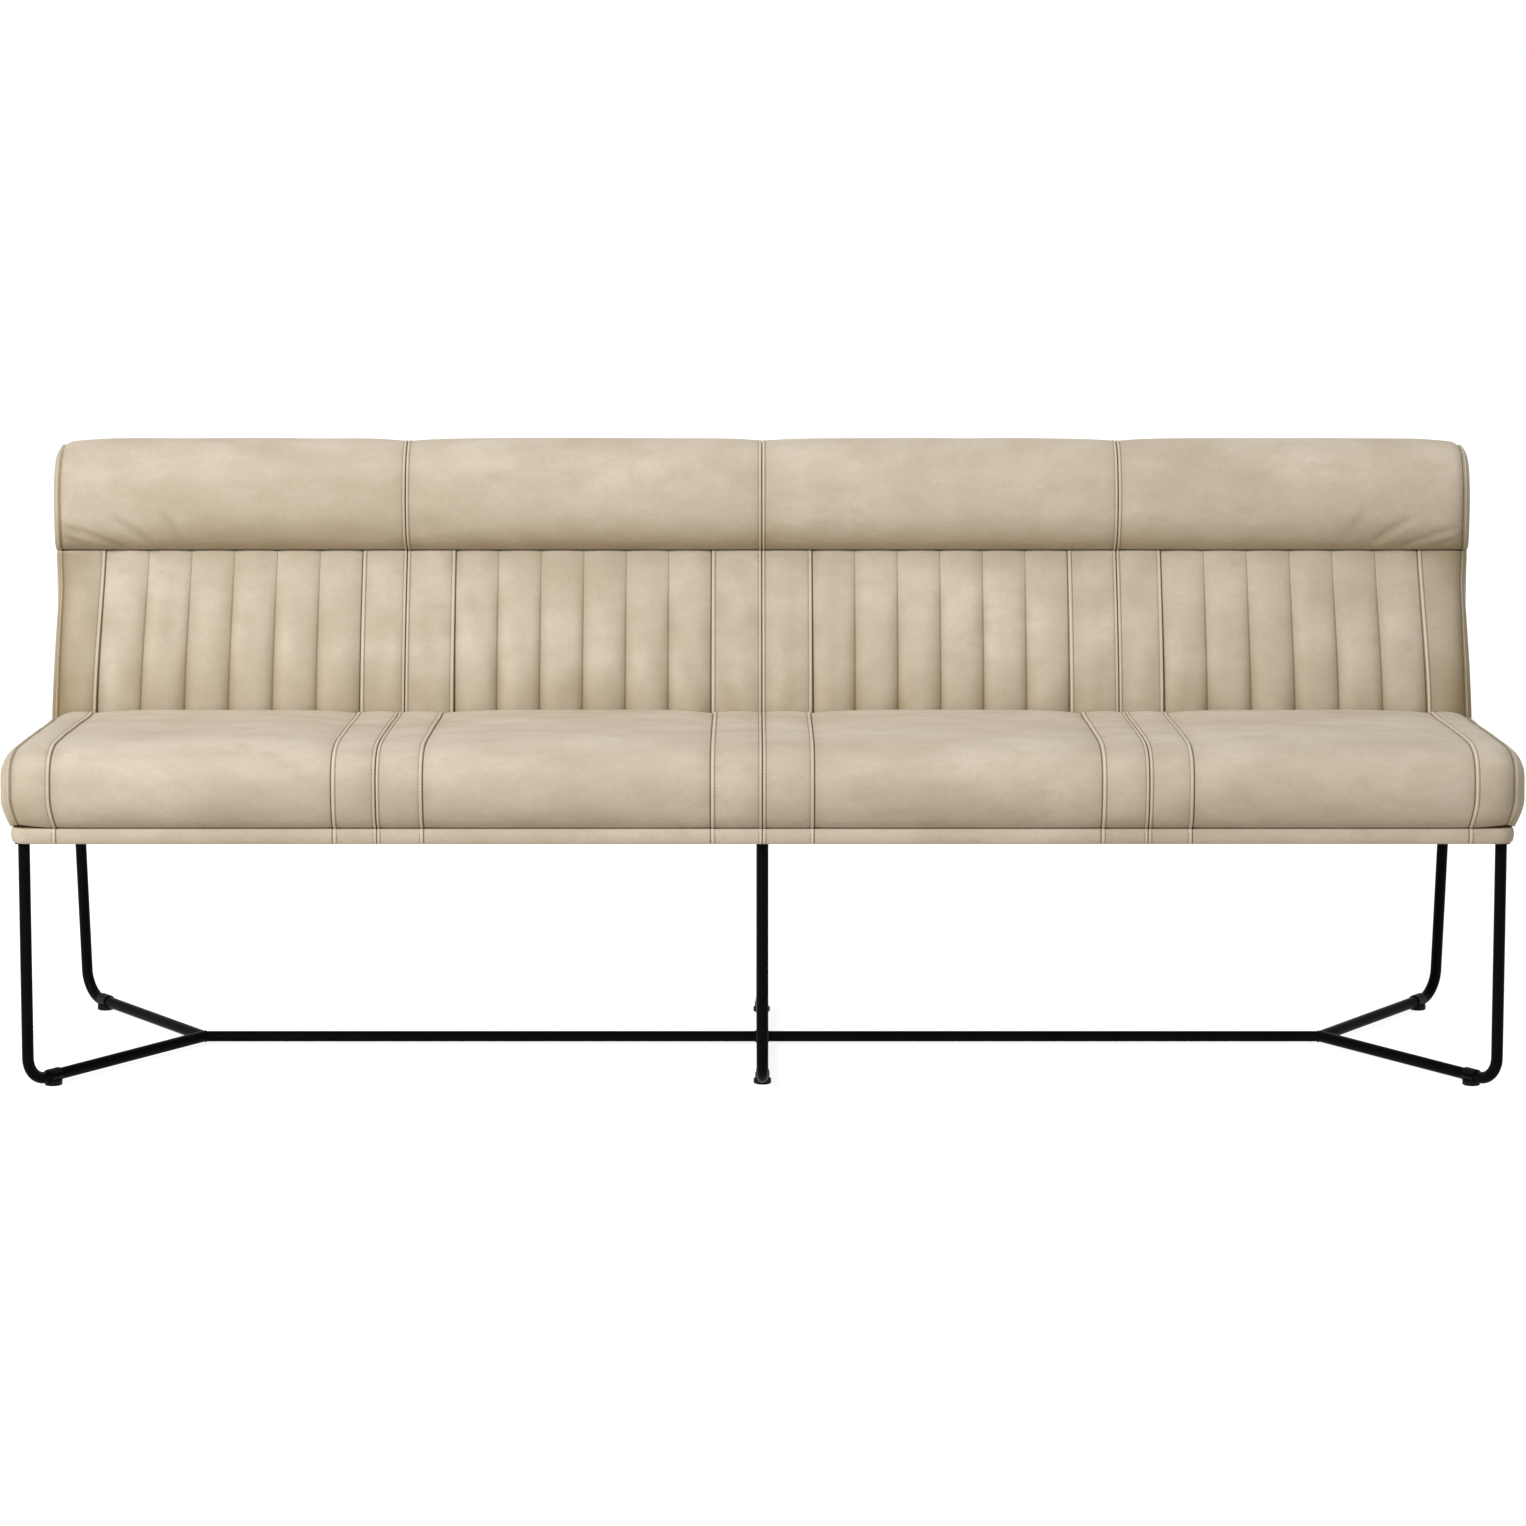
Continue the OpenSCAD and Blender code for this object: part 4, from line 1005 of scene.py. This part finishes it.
def leather():
    material, tree, shader = new_material("sand_leather")
    place = tree.place()
    stretched = tree.add("ShaderNodeMapping", Vector=place)
    stretched.inputs["Scale"].default_value = CLOUD_STRETCH
    clouds = tree.noise(stretched.outputs["Vector"], CLOUDS, 5.0, 0.6)
    blots = tree.noise(stretched.outputs["Vector"], BLOTS, 4.0, 0.6)
    grain = tree.noise(place, GRAIN, 4.0, 0.65)
    colour = tree.ramp(clouds, [(0.28, LEATHER_DEEP), (0.5, LEATHER), (0.72, LEATHER_PALE)])
    colour = tree.mix(tree.ramp(blots, [(0.5, 0.0), (0.72, 0.6)]), colour, LEATHER_OLIVE)
    flecks = tree.ramp(tree.noise(place, FLECKS, 3.0, 0.6), [(0.3, 0.965), (0.7, 1.025)])
    colour = tree.mix(1.0, colour, flecks, "MULTIPLY")
    colour = tree.mix(1.0, colour, tree.ramp(grain, [(0.3, 0.955), (0.7, 1.03)]), "MULTIPLY")
    # Painted shade and highlight from the pieces' attributes: broad shade with a little random mottle,
    # highlight on raised laps and beads, and shade in the seam grooves
    colour = tree.mix(tree.attribute("painted_shade", 1.0), colour, SHADE_BROWN)
    colour = tree.mix(tree.attribute("ridge_highlight", 0.5), colour, RIDGE_HIGHLIGHT)
    colour = tree.mix(tree.attribute("seam_shade", 0.95), colour, SEAM_SHADE_BROWN)
    pores = tree.add("ShaderNodeTexVoronoi", Scale=PORES, Vector=place)
    bumps = tree.bump(tree.noise(place, SOFT_BUMPS, 3.0, 0.55), 0.4, 1.4 * MM)
    bumps = tree.bump(grain, 0.3, 0.25 * MM, bumps)
    bumps = tree.bump(pores.outputs["Distance"], 0.2, 0.14 * MM, bumps)
    rough = tree.ramp(blots, [(0.3, 0.58), (0.7, 0.72)])
    for name, value in (("Base Color", colour), ("Normal", bumps), ("Roughness", rough),
                        ("Specular IOR Level", 0.32), ("Sheen Weight", 0.08), ("Sheen Roughness", 0.5)):
        tree.put(shader.inputs[name], value)
    return material


# How much lighter and darker a plain surface gets
TONE_CHANGE = 0.12


def plain_surface(name, colour, roughness, bump_scale, bump_distance, metallic=0.0, specular=0.5):
    """A painted, moulded or woven surface: slight changes of tone and a fine bump."""
    material, tree, shader = new_material(name)
    place = tree.place()
    low = tuple(v * (1 - TONE_CHANGE) for v in colour)
    high = tuple(min(1.0, v * (1 + TONE_CHANGE)) for v in colour)
    tone = tree.ramp(tree.noise(place, bump_scale / 12), [(0.35, low), (0.65, high)])
    bump = tree.bump(tree.noise(place, bump_scale, 2.0), 0.35, bump_distance)
    for socket, value in (("Base Color", tone), ("Normal", bump), ("Roughness", roughness),
                          ("Metallic", metallic), ("Specular IOR Level", specular)):
        tree.put(shader.inputs[socket], value)
    return material


LEATHER_MATERIAL = leather()
THREAD = plain_surface("thread", (0.23, 0.165, 0.1), 0.7, 2200, 0.05 * MM)
STEEL = plain_surface("black_powder_coat", (0.0035,) * 3, 0.34, 1400, 0.05 * MM, specular=0.02)
PLASTIC = plain_surface("black_plastic", (0.005,) * 3, 0.5, 900, 0.05 * MM, specular=0.1)
ZINC = plain_surface("zinc", (0.62, 0.63, 0.65), 0.35, 800, 0.03 * MM, metallic=1.0)
TIMBER = plain_surface("plywood", (0.62, 0.45, 0.27), 0.6, 160, 0.2 * MM)
FOAM = plain_surface("foam", (0.85, 0.8, 0.6), 0.9, 700, 0.4 * MM)
CLOTH = plain_surface("black_cloth", (0.035, 0.035, 0.037), 0.9, 1100, 0.25 * MM)
BOARD = plain_surface("hardboard", (0.3, 0.19, 0.1), 0.7, 300, 0.1 * MM)

# The material of each CAD node goes by the first of these words in its name
CAD_MATERIALS = (
    ("leg", STEEL), ("stretcher", STEEL), ("mounting_bar", STEEL), ("mounting_bolts", STEEL),
    ("glide", PLASTIC), ("insert", ZINC), ("bracket", ZINC), ("webbing", CLOTH), ("felt", CLOTH),
    ("dust_cover", CLOTH), ("foam", FOAM), ("board", BOARD), ("rail", TIMBER), ("post", TIMBER))

for name, node in frame["nodes"].items():
    for word, material in CAD_MATERIALS:
        if word in name:
            node.data.materials.clear()
            node.data.materials.append(material)
            break


# Topstitching: small threads laid along the seams. Each section has its place and size as shares
STITCH_AROUND = 6
STITCH_SECTIONS = ((-0.5, 0.15), (-0.42, 0.8), (-0.2, 1.0), (0.2, 1.0), (0.42, 0.8), (0.5, 0.15))
COVER_MARGIN = 3 * MM
BORDER_MARGIN = 1.5 * MM
OUTER_MARGIN = 4 * MM


def stitch_mesh(name, lines):
    """One piece of many threads. Each line is its points, its outward ways and its bare ends' length."""
    angles = np.arange(STITCH_AROUND) * math.tau / STITCH_AROUND
    size = STITCH_AROUND * len(STITCH_SECTIONS)
    thread = ring_faces(len(STITCH_SECTIONS), STITCH_AROUND)
    thread += [tuple(range(STITCH_AROUND)), tuple(range(size - 1, size - 1 - STITCH_AROUND, -1))]
    points, faces = [], []
    for line, ways, margin in lines:
        steps = np.linalg.norm(np.diff(line, axis=0), axis=1)
        places = np.concatenate([[0], np.cumsum(steps)])
        for k in range(int((places[-1] - 2 * margin) / STITCH_PITCH)):
            middle = margin + (k + 0.5) * STITCH_PITCH
            ends = [middle - STITCH_LEN / 2, middle + STITCH_LEN / 2]
            p = np.stack([np.interp(ends, places, line[:, i]) for i in range(3)], axis=-1)
            out = unit(np.array([np.interp(middle, places, ways[:, i]) for i in range(3)]))
            way = unit(p[1] - p[0])
            side = unit(np.cross(way, out))
            centre = (p[0] + p[1]) / 2 + out * STITCH_R * 0.35
            round_way = np.cos(angles)[:, None] * out + np.sin(angles)[:, None] * side
            faces += [tuple(v + len(points) * STITCH_AROUND for v in face) for face in thread]
            for share, thickness in STITCH_SECTIONS:
                sink = STITCH_R * (1 - thickness) * 1.4
                at = centre + way * share * STITCH_LEN - out * sink
                points.append(at + STITCH_R * thickness * round_way)
    return mesh_object(name, np.concatenate(points), faces)


# The covers
covers = {}
for kind in (SeatCover, LumbarCover, RollCover):
    covers[kind] = [kind(number) for number in (1, 2, 3, 4)]
    for cover in covers[kind]:
        cover.bulge = simulated_bulge(cover)
        nodes = [f"{cover.node}_{cover.number}"]
        finish_piece(cover.build(), LEATHER_MATERIAL, nodes)

for kind, sections in covers.items():
    lines = [(*cover.stitch_line(place), COVER_MARGIN)
             for cover in sections for place in stitch_places(cover.seams)]
    finish_piece(stitch_mesh(kind.stitching, lines), THREAD)


# Border round the deck: a convex strip, sewn at the same places as the seat
BORDER_SWELL = 4.2 * MM
BORDER_TURNS = (-80, 78, 17)
BORDER_STEP = 9 * MM
BORDER_RELIEF = 0.6
CORNER_STEPS = 12


def border_path(seams):
    """Points round the deck's outline with outward ways, anticlockwise from the front's left corner."""
    r, x, y0, y1 = BORDER_R, BORDER_X, BORDER_FRONT_Y, BORDER_REAR_Y
    runs = (((-x + r, y0), (x - r, y0), (0, -1)), ((x, y0 + r), (x, y1 - r), (1, 0)),
            ((x - r, y1), (-x + r, y1), (0, 1)), ((-x, y1 - r), (-x, y0 + r), (-1, 0)))
    centres = ((x - r, y0 + r), (x - r, y1 - r), (-x + r, y1 - r), (-x + r, y0 + r))
    points, ways = [], []
    for (a, b, out), centre in zip(runs, centres):
        a, b = np.array(a), np.array(b)
        if not points:
            straight = [(px, y0) for px in spread_places(a[0], b[0], BORDER_STEP, seams)]
        else:
            parts = max(2, int(np.linalg.norm(b - a) / BORDER_STEP))
            straight = [tuple(a + (b - a) * share) for share in np.linspace(0, 1, parts)]
        points += straight
        ways += [out] * len(straight)
        turn = math.atan2(out[1], out[0])
        for j in range(1, CORNER_STEPS):
            angle = turn + j / CORNER_STEPS * math.pi / 2
            ways.append((math.cos(angle), math.sin(angle)))
            points.append((centre[0] + r * ways[-1][0], centre[1] + r * ways[-1][1]))
    return np.array(points), np.array(ways)


def border_seams():
    seams = [Seam(0, (-1, 1), JOIN_LAP_W)]
    for side in (-1, 1):
        seams.append(Seam(side * SEAT_BOUNDARY, (-1, 1), JOIN_LAP_W))
        for a, b in SEAT_FIELDS:
            seams.append(Seam(side * a, (-side,)))
            seams.append(Seam(side * (b - (PAD_END_TAPER * 0.8 if b > 1 else 0)), (side,)))
    return seams


def border_section():
    """How far each point of the strip's section lies out from the deck's outline, and its height."""
    height = BORDER_HIGH - BORDER_LOW
    turns = np.radians(np.linspace(*BORDER_TURNS))
    depths = -BORDER_SWELL * (1 - np.cos(turns)) ** 0.9
    heights = (0.5 + 0.5 * np.sin(turns) / math.sin(math.radians(-BORDER_TURNS[0]))) * height
    return np.array([-BORDER_T, *depths, -BORDER_T]), np.array([0, *heights, height])


def deck_border():
    seams = border_seams()
    path, ways = border_path(seams)
    x = path[:, 0]
    front = path[:, 1] < BORDER_FRONT_Y + 1e-6
    relief = np.where(front, sum(seam.relief(x) for seam in seams), 0) * BORDER_RELIEF
    depths, heights = border_section()
    shown = np.ones(len(depths))
    shown[[0, -1]] = 0
    off = depths + np.outer(relief, shown)
    flat = path[:, None] + ways[:, None] * off[..., None]
    up = np.broadcast_to(BORDER_LOW + heights, off.shape)
    rings = np.concatenate([flat, up[..., None]], axis=-1)
    piece = mesh_object("deck_border", rings.reshape(-1, 3), ring_faces(*off.shape, joined=True))
    # Painted shade in the front's seam grooves and painted highlight on its raised laps
    dark, light = sum(seam.seam_shade(x) for seam in seams), sum(seam.ridge_highlight(x) for seam in seams)
    paint(piece, "seam_shade", np.outer(np.where(front, dark, 0), shown))
    paint(piece, "ridge_highlight", np.outer(np.where(front, light, 0), shown))
    lines = []
    for place in stitch_places(seams):
        line = rings[np.abs(np.where(front, x, np.inf) - place).argmin()][2:-2]
        lines.append((line, np.tile([0, -1.0, 0], (len(line), 1)), BORDER_MARGIN))
    return piece, stitch_mesh("border_stitching", lines)


border, border_threads = deck_border()
finish_piece(border, LEATHER_MATERIAL,
             ["front_border", "rear_border", "left_border", "right_border"])
finish_piece(border_threads, THREAD)


# Outer back panel: slightly padded, with turned edges and sewn at the section boundaries
OUTER_SWELL = 0.8 * MM
OUTER_EDGE_SINK = 1.6 * MM
OUTER_EDGE = np.array([0, 0.7, 1.5, 3, 6]) * MM
OUTER_COLUMN = 12 * MM
OUTER_ROW = 10 * MM
OUTER_RELIEF = 0.7
OUTER_INSET = 1 * MM


def outer_back():
    half = BACK_HALF_W - OUTER_INSET
    low_h = -OUTER_INSET
    seams = [Seam(x, (-1, 1), JOIN_LAP_W) for x in (0, -BACK_BOUNDARY, BACK_BOUNDARY)]
    x = spread_places(-half, half, OUTER_COLUMN, seams)
    x = np.unique(np.concatenate([x, -half + OUTER_EDGE, half - OUTER_EDGE]).round(6))
    inside = np.arange(low_h + 14 * MM, PANEL_H - 12 * MM, OUTER_ROW)
    h = np.concatenate([low_h + OUTER_EDGE, inside, PANEL_H - OUTER_EDGE[::-1]])[:, None]
    over = np.maximum(0, h - (PANEL_H - BACK_END_R))
    limit = half - (BACK_END_R - np.sqrt(np.maximum(0, BACK_END_R ** 2 - over ** 2)))
    across = x[None] * (limit / half)
    from_end = np.abs(across).max(axis=1, keepdims=True) - np.abs(across)
    from_edge = np.minimum(from_end, np.minimum(h - low_h, PANEL_H - h))
    lift = sum(seam.relief(across) for seam in seams) * OUTER_RELIEF
    lift = lift - OUTER_EDGE_SINK * bell(from_edge, 1.8 * MM) + OUTER_SWELL * smooth(0, 90 * MM, from_edge)
    lift = lift + 0.3 * MM * ripple(across, h, 0.22, 0.16, 61)
    sheets = []
    for t in (-lift, SHELL_T + 0 * lift):
        placed = back_point(np.stack(np.broadcast_arrays(t, h), axis=-1))
        sheets.append(np.concatenate([across[..., None], placed], axis=-1))
    index = np.arange(across.size).reshape(across.shape)
    rim = np.concatenate([index[0], index[1:, -1], index[-1, -2::-1], index[-2:0:-1, 0]])
    after = np.roll(rim, -1)
    edge = np.stack([rim, after, after + across.size, rim + across.size], axis=-1)
    quads = sheet_faces(*across.shape)
    faces = np.concatenate([quads[:, [0, 3, 2, 1]], quads + across.size, edge])
    piece = mesh_object("outer_back", np.array(sheets).reshape(-1, 3), faces.tolist())
    # Painted shade in the seam grooves and along the turned edges, and painted highlight on the raised laps
    dark = np.clip(sum(seam.seam_shade(across) for seam in seams) + 0.5 * bell(from_edge, 1.2 * MM), 0, 1)
    light = np.clip(sum(seam.ridge_highlight(across) for seam in seams), 0, 1)
    paint(piece, "seam_shade", np.stack([dark, 0 * dark]))
    paint(piece, "ridge_highlight", np.stack([light, 0 * light]))
    lines = []
    for place in stitch_places(seams):
        line = sheets[0][:, np.abs(across[0] - place).argmin()]
        out = np.tile([0, math.cos(BACK_RAKE), -math.sin(BACK_RAKE)], (len(line), 1))
        lines.append((line, out, OUTER_MARGIN))
    return piece, stitch_mesh("outer_back_stitching", lines)


outer, outer_threads = outer_back()
finish_piece(outer, LEATHER_MATERIAL, ["outer_back_cover", "back_board"])
finish_piece(outer_threads, THREAD)


# Weld beads where tubes meet, round the leg tops and the stretchers' ends. Up to the beads' own sizes,
# these are the places and sizes of the leg frames in the part
STRETCHER_R = 8 * MM
RUNNER_Z = 5 * MM + TUBE_R
LEG_X = HALF_W - 29 * MM
LEG_RAKE = math.radians(12)
REAR_CORNER_Y = 316 * MM
APEX_X = LEG_X - 219 * MM
APEX_Y = (LEG_Y + REAR_CORNER_Y) / 2
RUNNER_ANGLE = math.atan2(APEX_Y - LEG_Y, LEG_X - APEX_X)
BEAD_AROUND, BEAD_RING = 72, 8
BEAD_RIPPLES, BEAD_UNEVEN = 18, 0.16
LEG_BEAD = 1.6 * MM
RUNNER_BEAD = 1.3 * MM


def weld_bead(name, centre, axis, radius, bead=LEG_BEAD, follow=None):
    """A rippled ring round a tube. It follows the joint where one is given by its angle round the tube."""
    centre, axis = np.array(centre), np.array(axis, float)
    helper = np.array([0, 0, 1.0]) if abs(axis[2]) < 0.9 else np.array([1.0, 0, 0])
    u = unit(np.cross(axis, helper))
    v = np.cross(axis, u)
    points = []
    for a in math.tau * np.arange(BEAD_AROUND) / BEAD_AROUND:
        size = bead * (1 + BEAD_UNEVEN * math.sin(BEAD_RIPPLES * a))
        way = math.cos(a) * u + math.sin(a) * v
        at = centre + (axis * follow(a) if follow else 0)
        for b in math.tau * np.arange(BEAD_RING) / BEAD_RING:
            points.append(at + way * (radius + size * math.cos(b) * 0.8) + axis * size * math.sin(b))
    piece = mesh_object(name, points, ring_faces(BEAD_AROUND, BEAD_RING, joined=True))
    finish_piece(piece, STEEL)


def mitre(angle):
    """How far before the runners' meeting point the stretcher's wall meets a runner."""
    across, up = STRETCHER_R * abs(math.cos(angle)), STRETCHER_R * math.sin(angle)
    reach = math.sqrt(TUBE_R ** 2 - up ** 2) - across * math.cos(RUNNER_ANGLE)
    return -reach / math.sin(RUNNER_ANGLE)


rear_top_y = REAR_CORNER_Y - (BAR_Z - RUNNER_Z) * math.tan(LEG_RAKE)
bead_z = BAR_Z - 0.4 * MM
for label, x in (("left", -LEG_X), ("centre", 0.0), ("right", LEG_X)):
    weld_bead(f"weld_front_{label}", (x, LEG_Y, bead_z), (0, 0, 1), TUBE_R)
    weld_bead(f"weld_rear_{label}", (x, rear_top_y, bead_z), (0, 0, 1), TUBE_R * 1.01)
for side, label in ((-1, "left"), (1, "right")):
    place = (side * (TUBE_R + 0.2 * MM), APEX_Y, RUNNER_Z)
    weld_bead(f"weld_stretcher_{label}", place, (1, 0, 0), STRETCHER_R)
    place = (side * APEX_X, APEX_Y, RUNNER_Z)
    weld_bead(f"weld_runner_{label}", place, (side, 0, 0), STRETCHER_R, RUNNER_BEAD, mitre)


# Floor, backdrop, light and camera
FLOOR_SIZE = 60.0
FLOOR_COLOUR = (0.55, 0.51, 0.44)
FLOOR_GLOW = 0.86
AMBIENT = 0.48
KEY_COLOUR = (1.0, 0.985, 0.955)


def floor():
    corners = ((-1, -1, 0), (1, -1, 0), (1, 1, 0), (-1, 1, 0))
    piece = mesh_object("floor", np.array(corners) * FLOOR_SIZE, [(0, 1, 2, 3)])
    material, tree, shader = new_material("pale_floor")
    for name, value in (("Base Color", FLOOR_COLOUR), ("Roughness", 0.9), ("Specular IOR Level", 0.0)):
        tree.put(shader.inputs[name], value)
    glow = tree.add("ShaderNodeEmission", Strength=tree.math("MULTIPLY", tree.light_path_sum(), FLOOR_GLOW))
    both = tree.nodes.new("ShaderNodeAddShader")
    tree.put(both.inputs[0], shader.outputs[0])
    tree.put(both.inputs[1], glow.outputs[0])
    tree.put(tree.nodes["Material Output"].inputs["Surface"], both.outputs[0])
    piece.data.materials.append(material)


def world():
    scene.world = bpy.data.worlds.new("studio")
    tree = Tree(scene.world)
    background = tree.nodes["Background"]
    tree.put(background.inputs["Color"], (1, 1, 1))
    seen = tree.math("MULTIPLY", tree.light_path_sum(), 1 - AMBIENT)
    tree.put(background.inputs["Strength"], tree.math("ADD", seen, AMBIENT))


def area_light(name, place, target, width, height, power, colour=(1, 1, 1)):
    data = bpy.data.lights.new(name, "AREA")
    data.shape = "RECTANGLE"
    data.size, data.size_y = width, height
    data.energy = power
    data.color = colour
    lamp = bpy.data.objects.new(name, data)
    lamp.location = place
    lamp.rotation_euler = (Vector(target) - Vector(place)).to_track_quat("-Z", "Y").to_euler()
    scene.collection.objects.link(lamp)


floor()
world()
area_light("key", (-4.3, -5.3, 4.2), (0, 0, 0.55), 2.9, 2.1, 400, KEY_COLOUR)
area_light("top", (0, -0.3, 3.6), (0, 0, 0.5), 4.0, 2.0, 20)

# The camera stands where the photograph's perspective puts it
CAMERA_DISTANCE = 6.385
CAMERA_HEIGHT = 1.5389
CAMERA_PITCH = math.radians(6.443)
CAMERA_SIDE = -0.015
CAMERA_SHIFT_X = 0.0071
CAMERA_SHIFT_Y = -0.15
CAMERA_FOCUS_PX = 4466.0
PHOTO_PX = 1526
SENSOR = 36.0
camera_data = bpy.data.cameras.new("camera")
camera_data.sensor_width = SENSOR
camera_data.lens = CAMERA_FOCUS_PX / PHOTO_PX * SENSOR
camera_data.shift_x = CAMERA_SHIFT_X
camera_data.shift_y = CAMERA_SHIFT_Y
camera = bpy.data.objects.new("camera", camera_data)
camera.location = (CAMERA_SIDE, LEG_Y - CAMERA_DISTANCE, CAMERA_HEIGHT)
camera.rotation_euler = (math.pi / 2 - CAMERA_PITCH, 0, 0)
scene.collection.objects.link(camera)
scene.camera = camera
scene.view_settings.view_transform = "Standard"
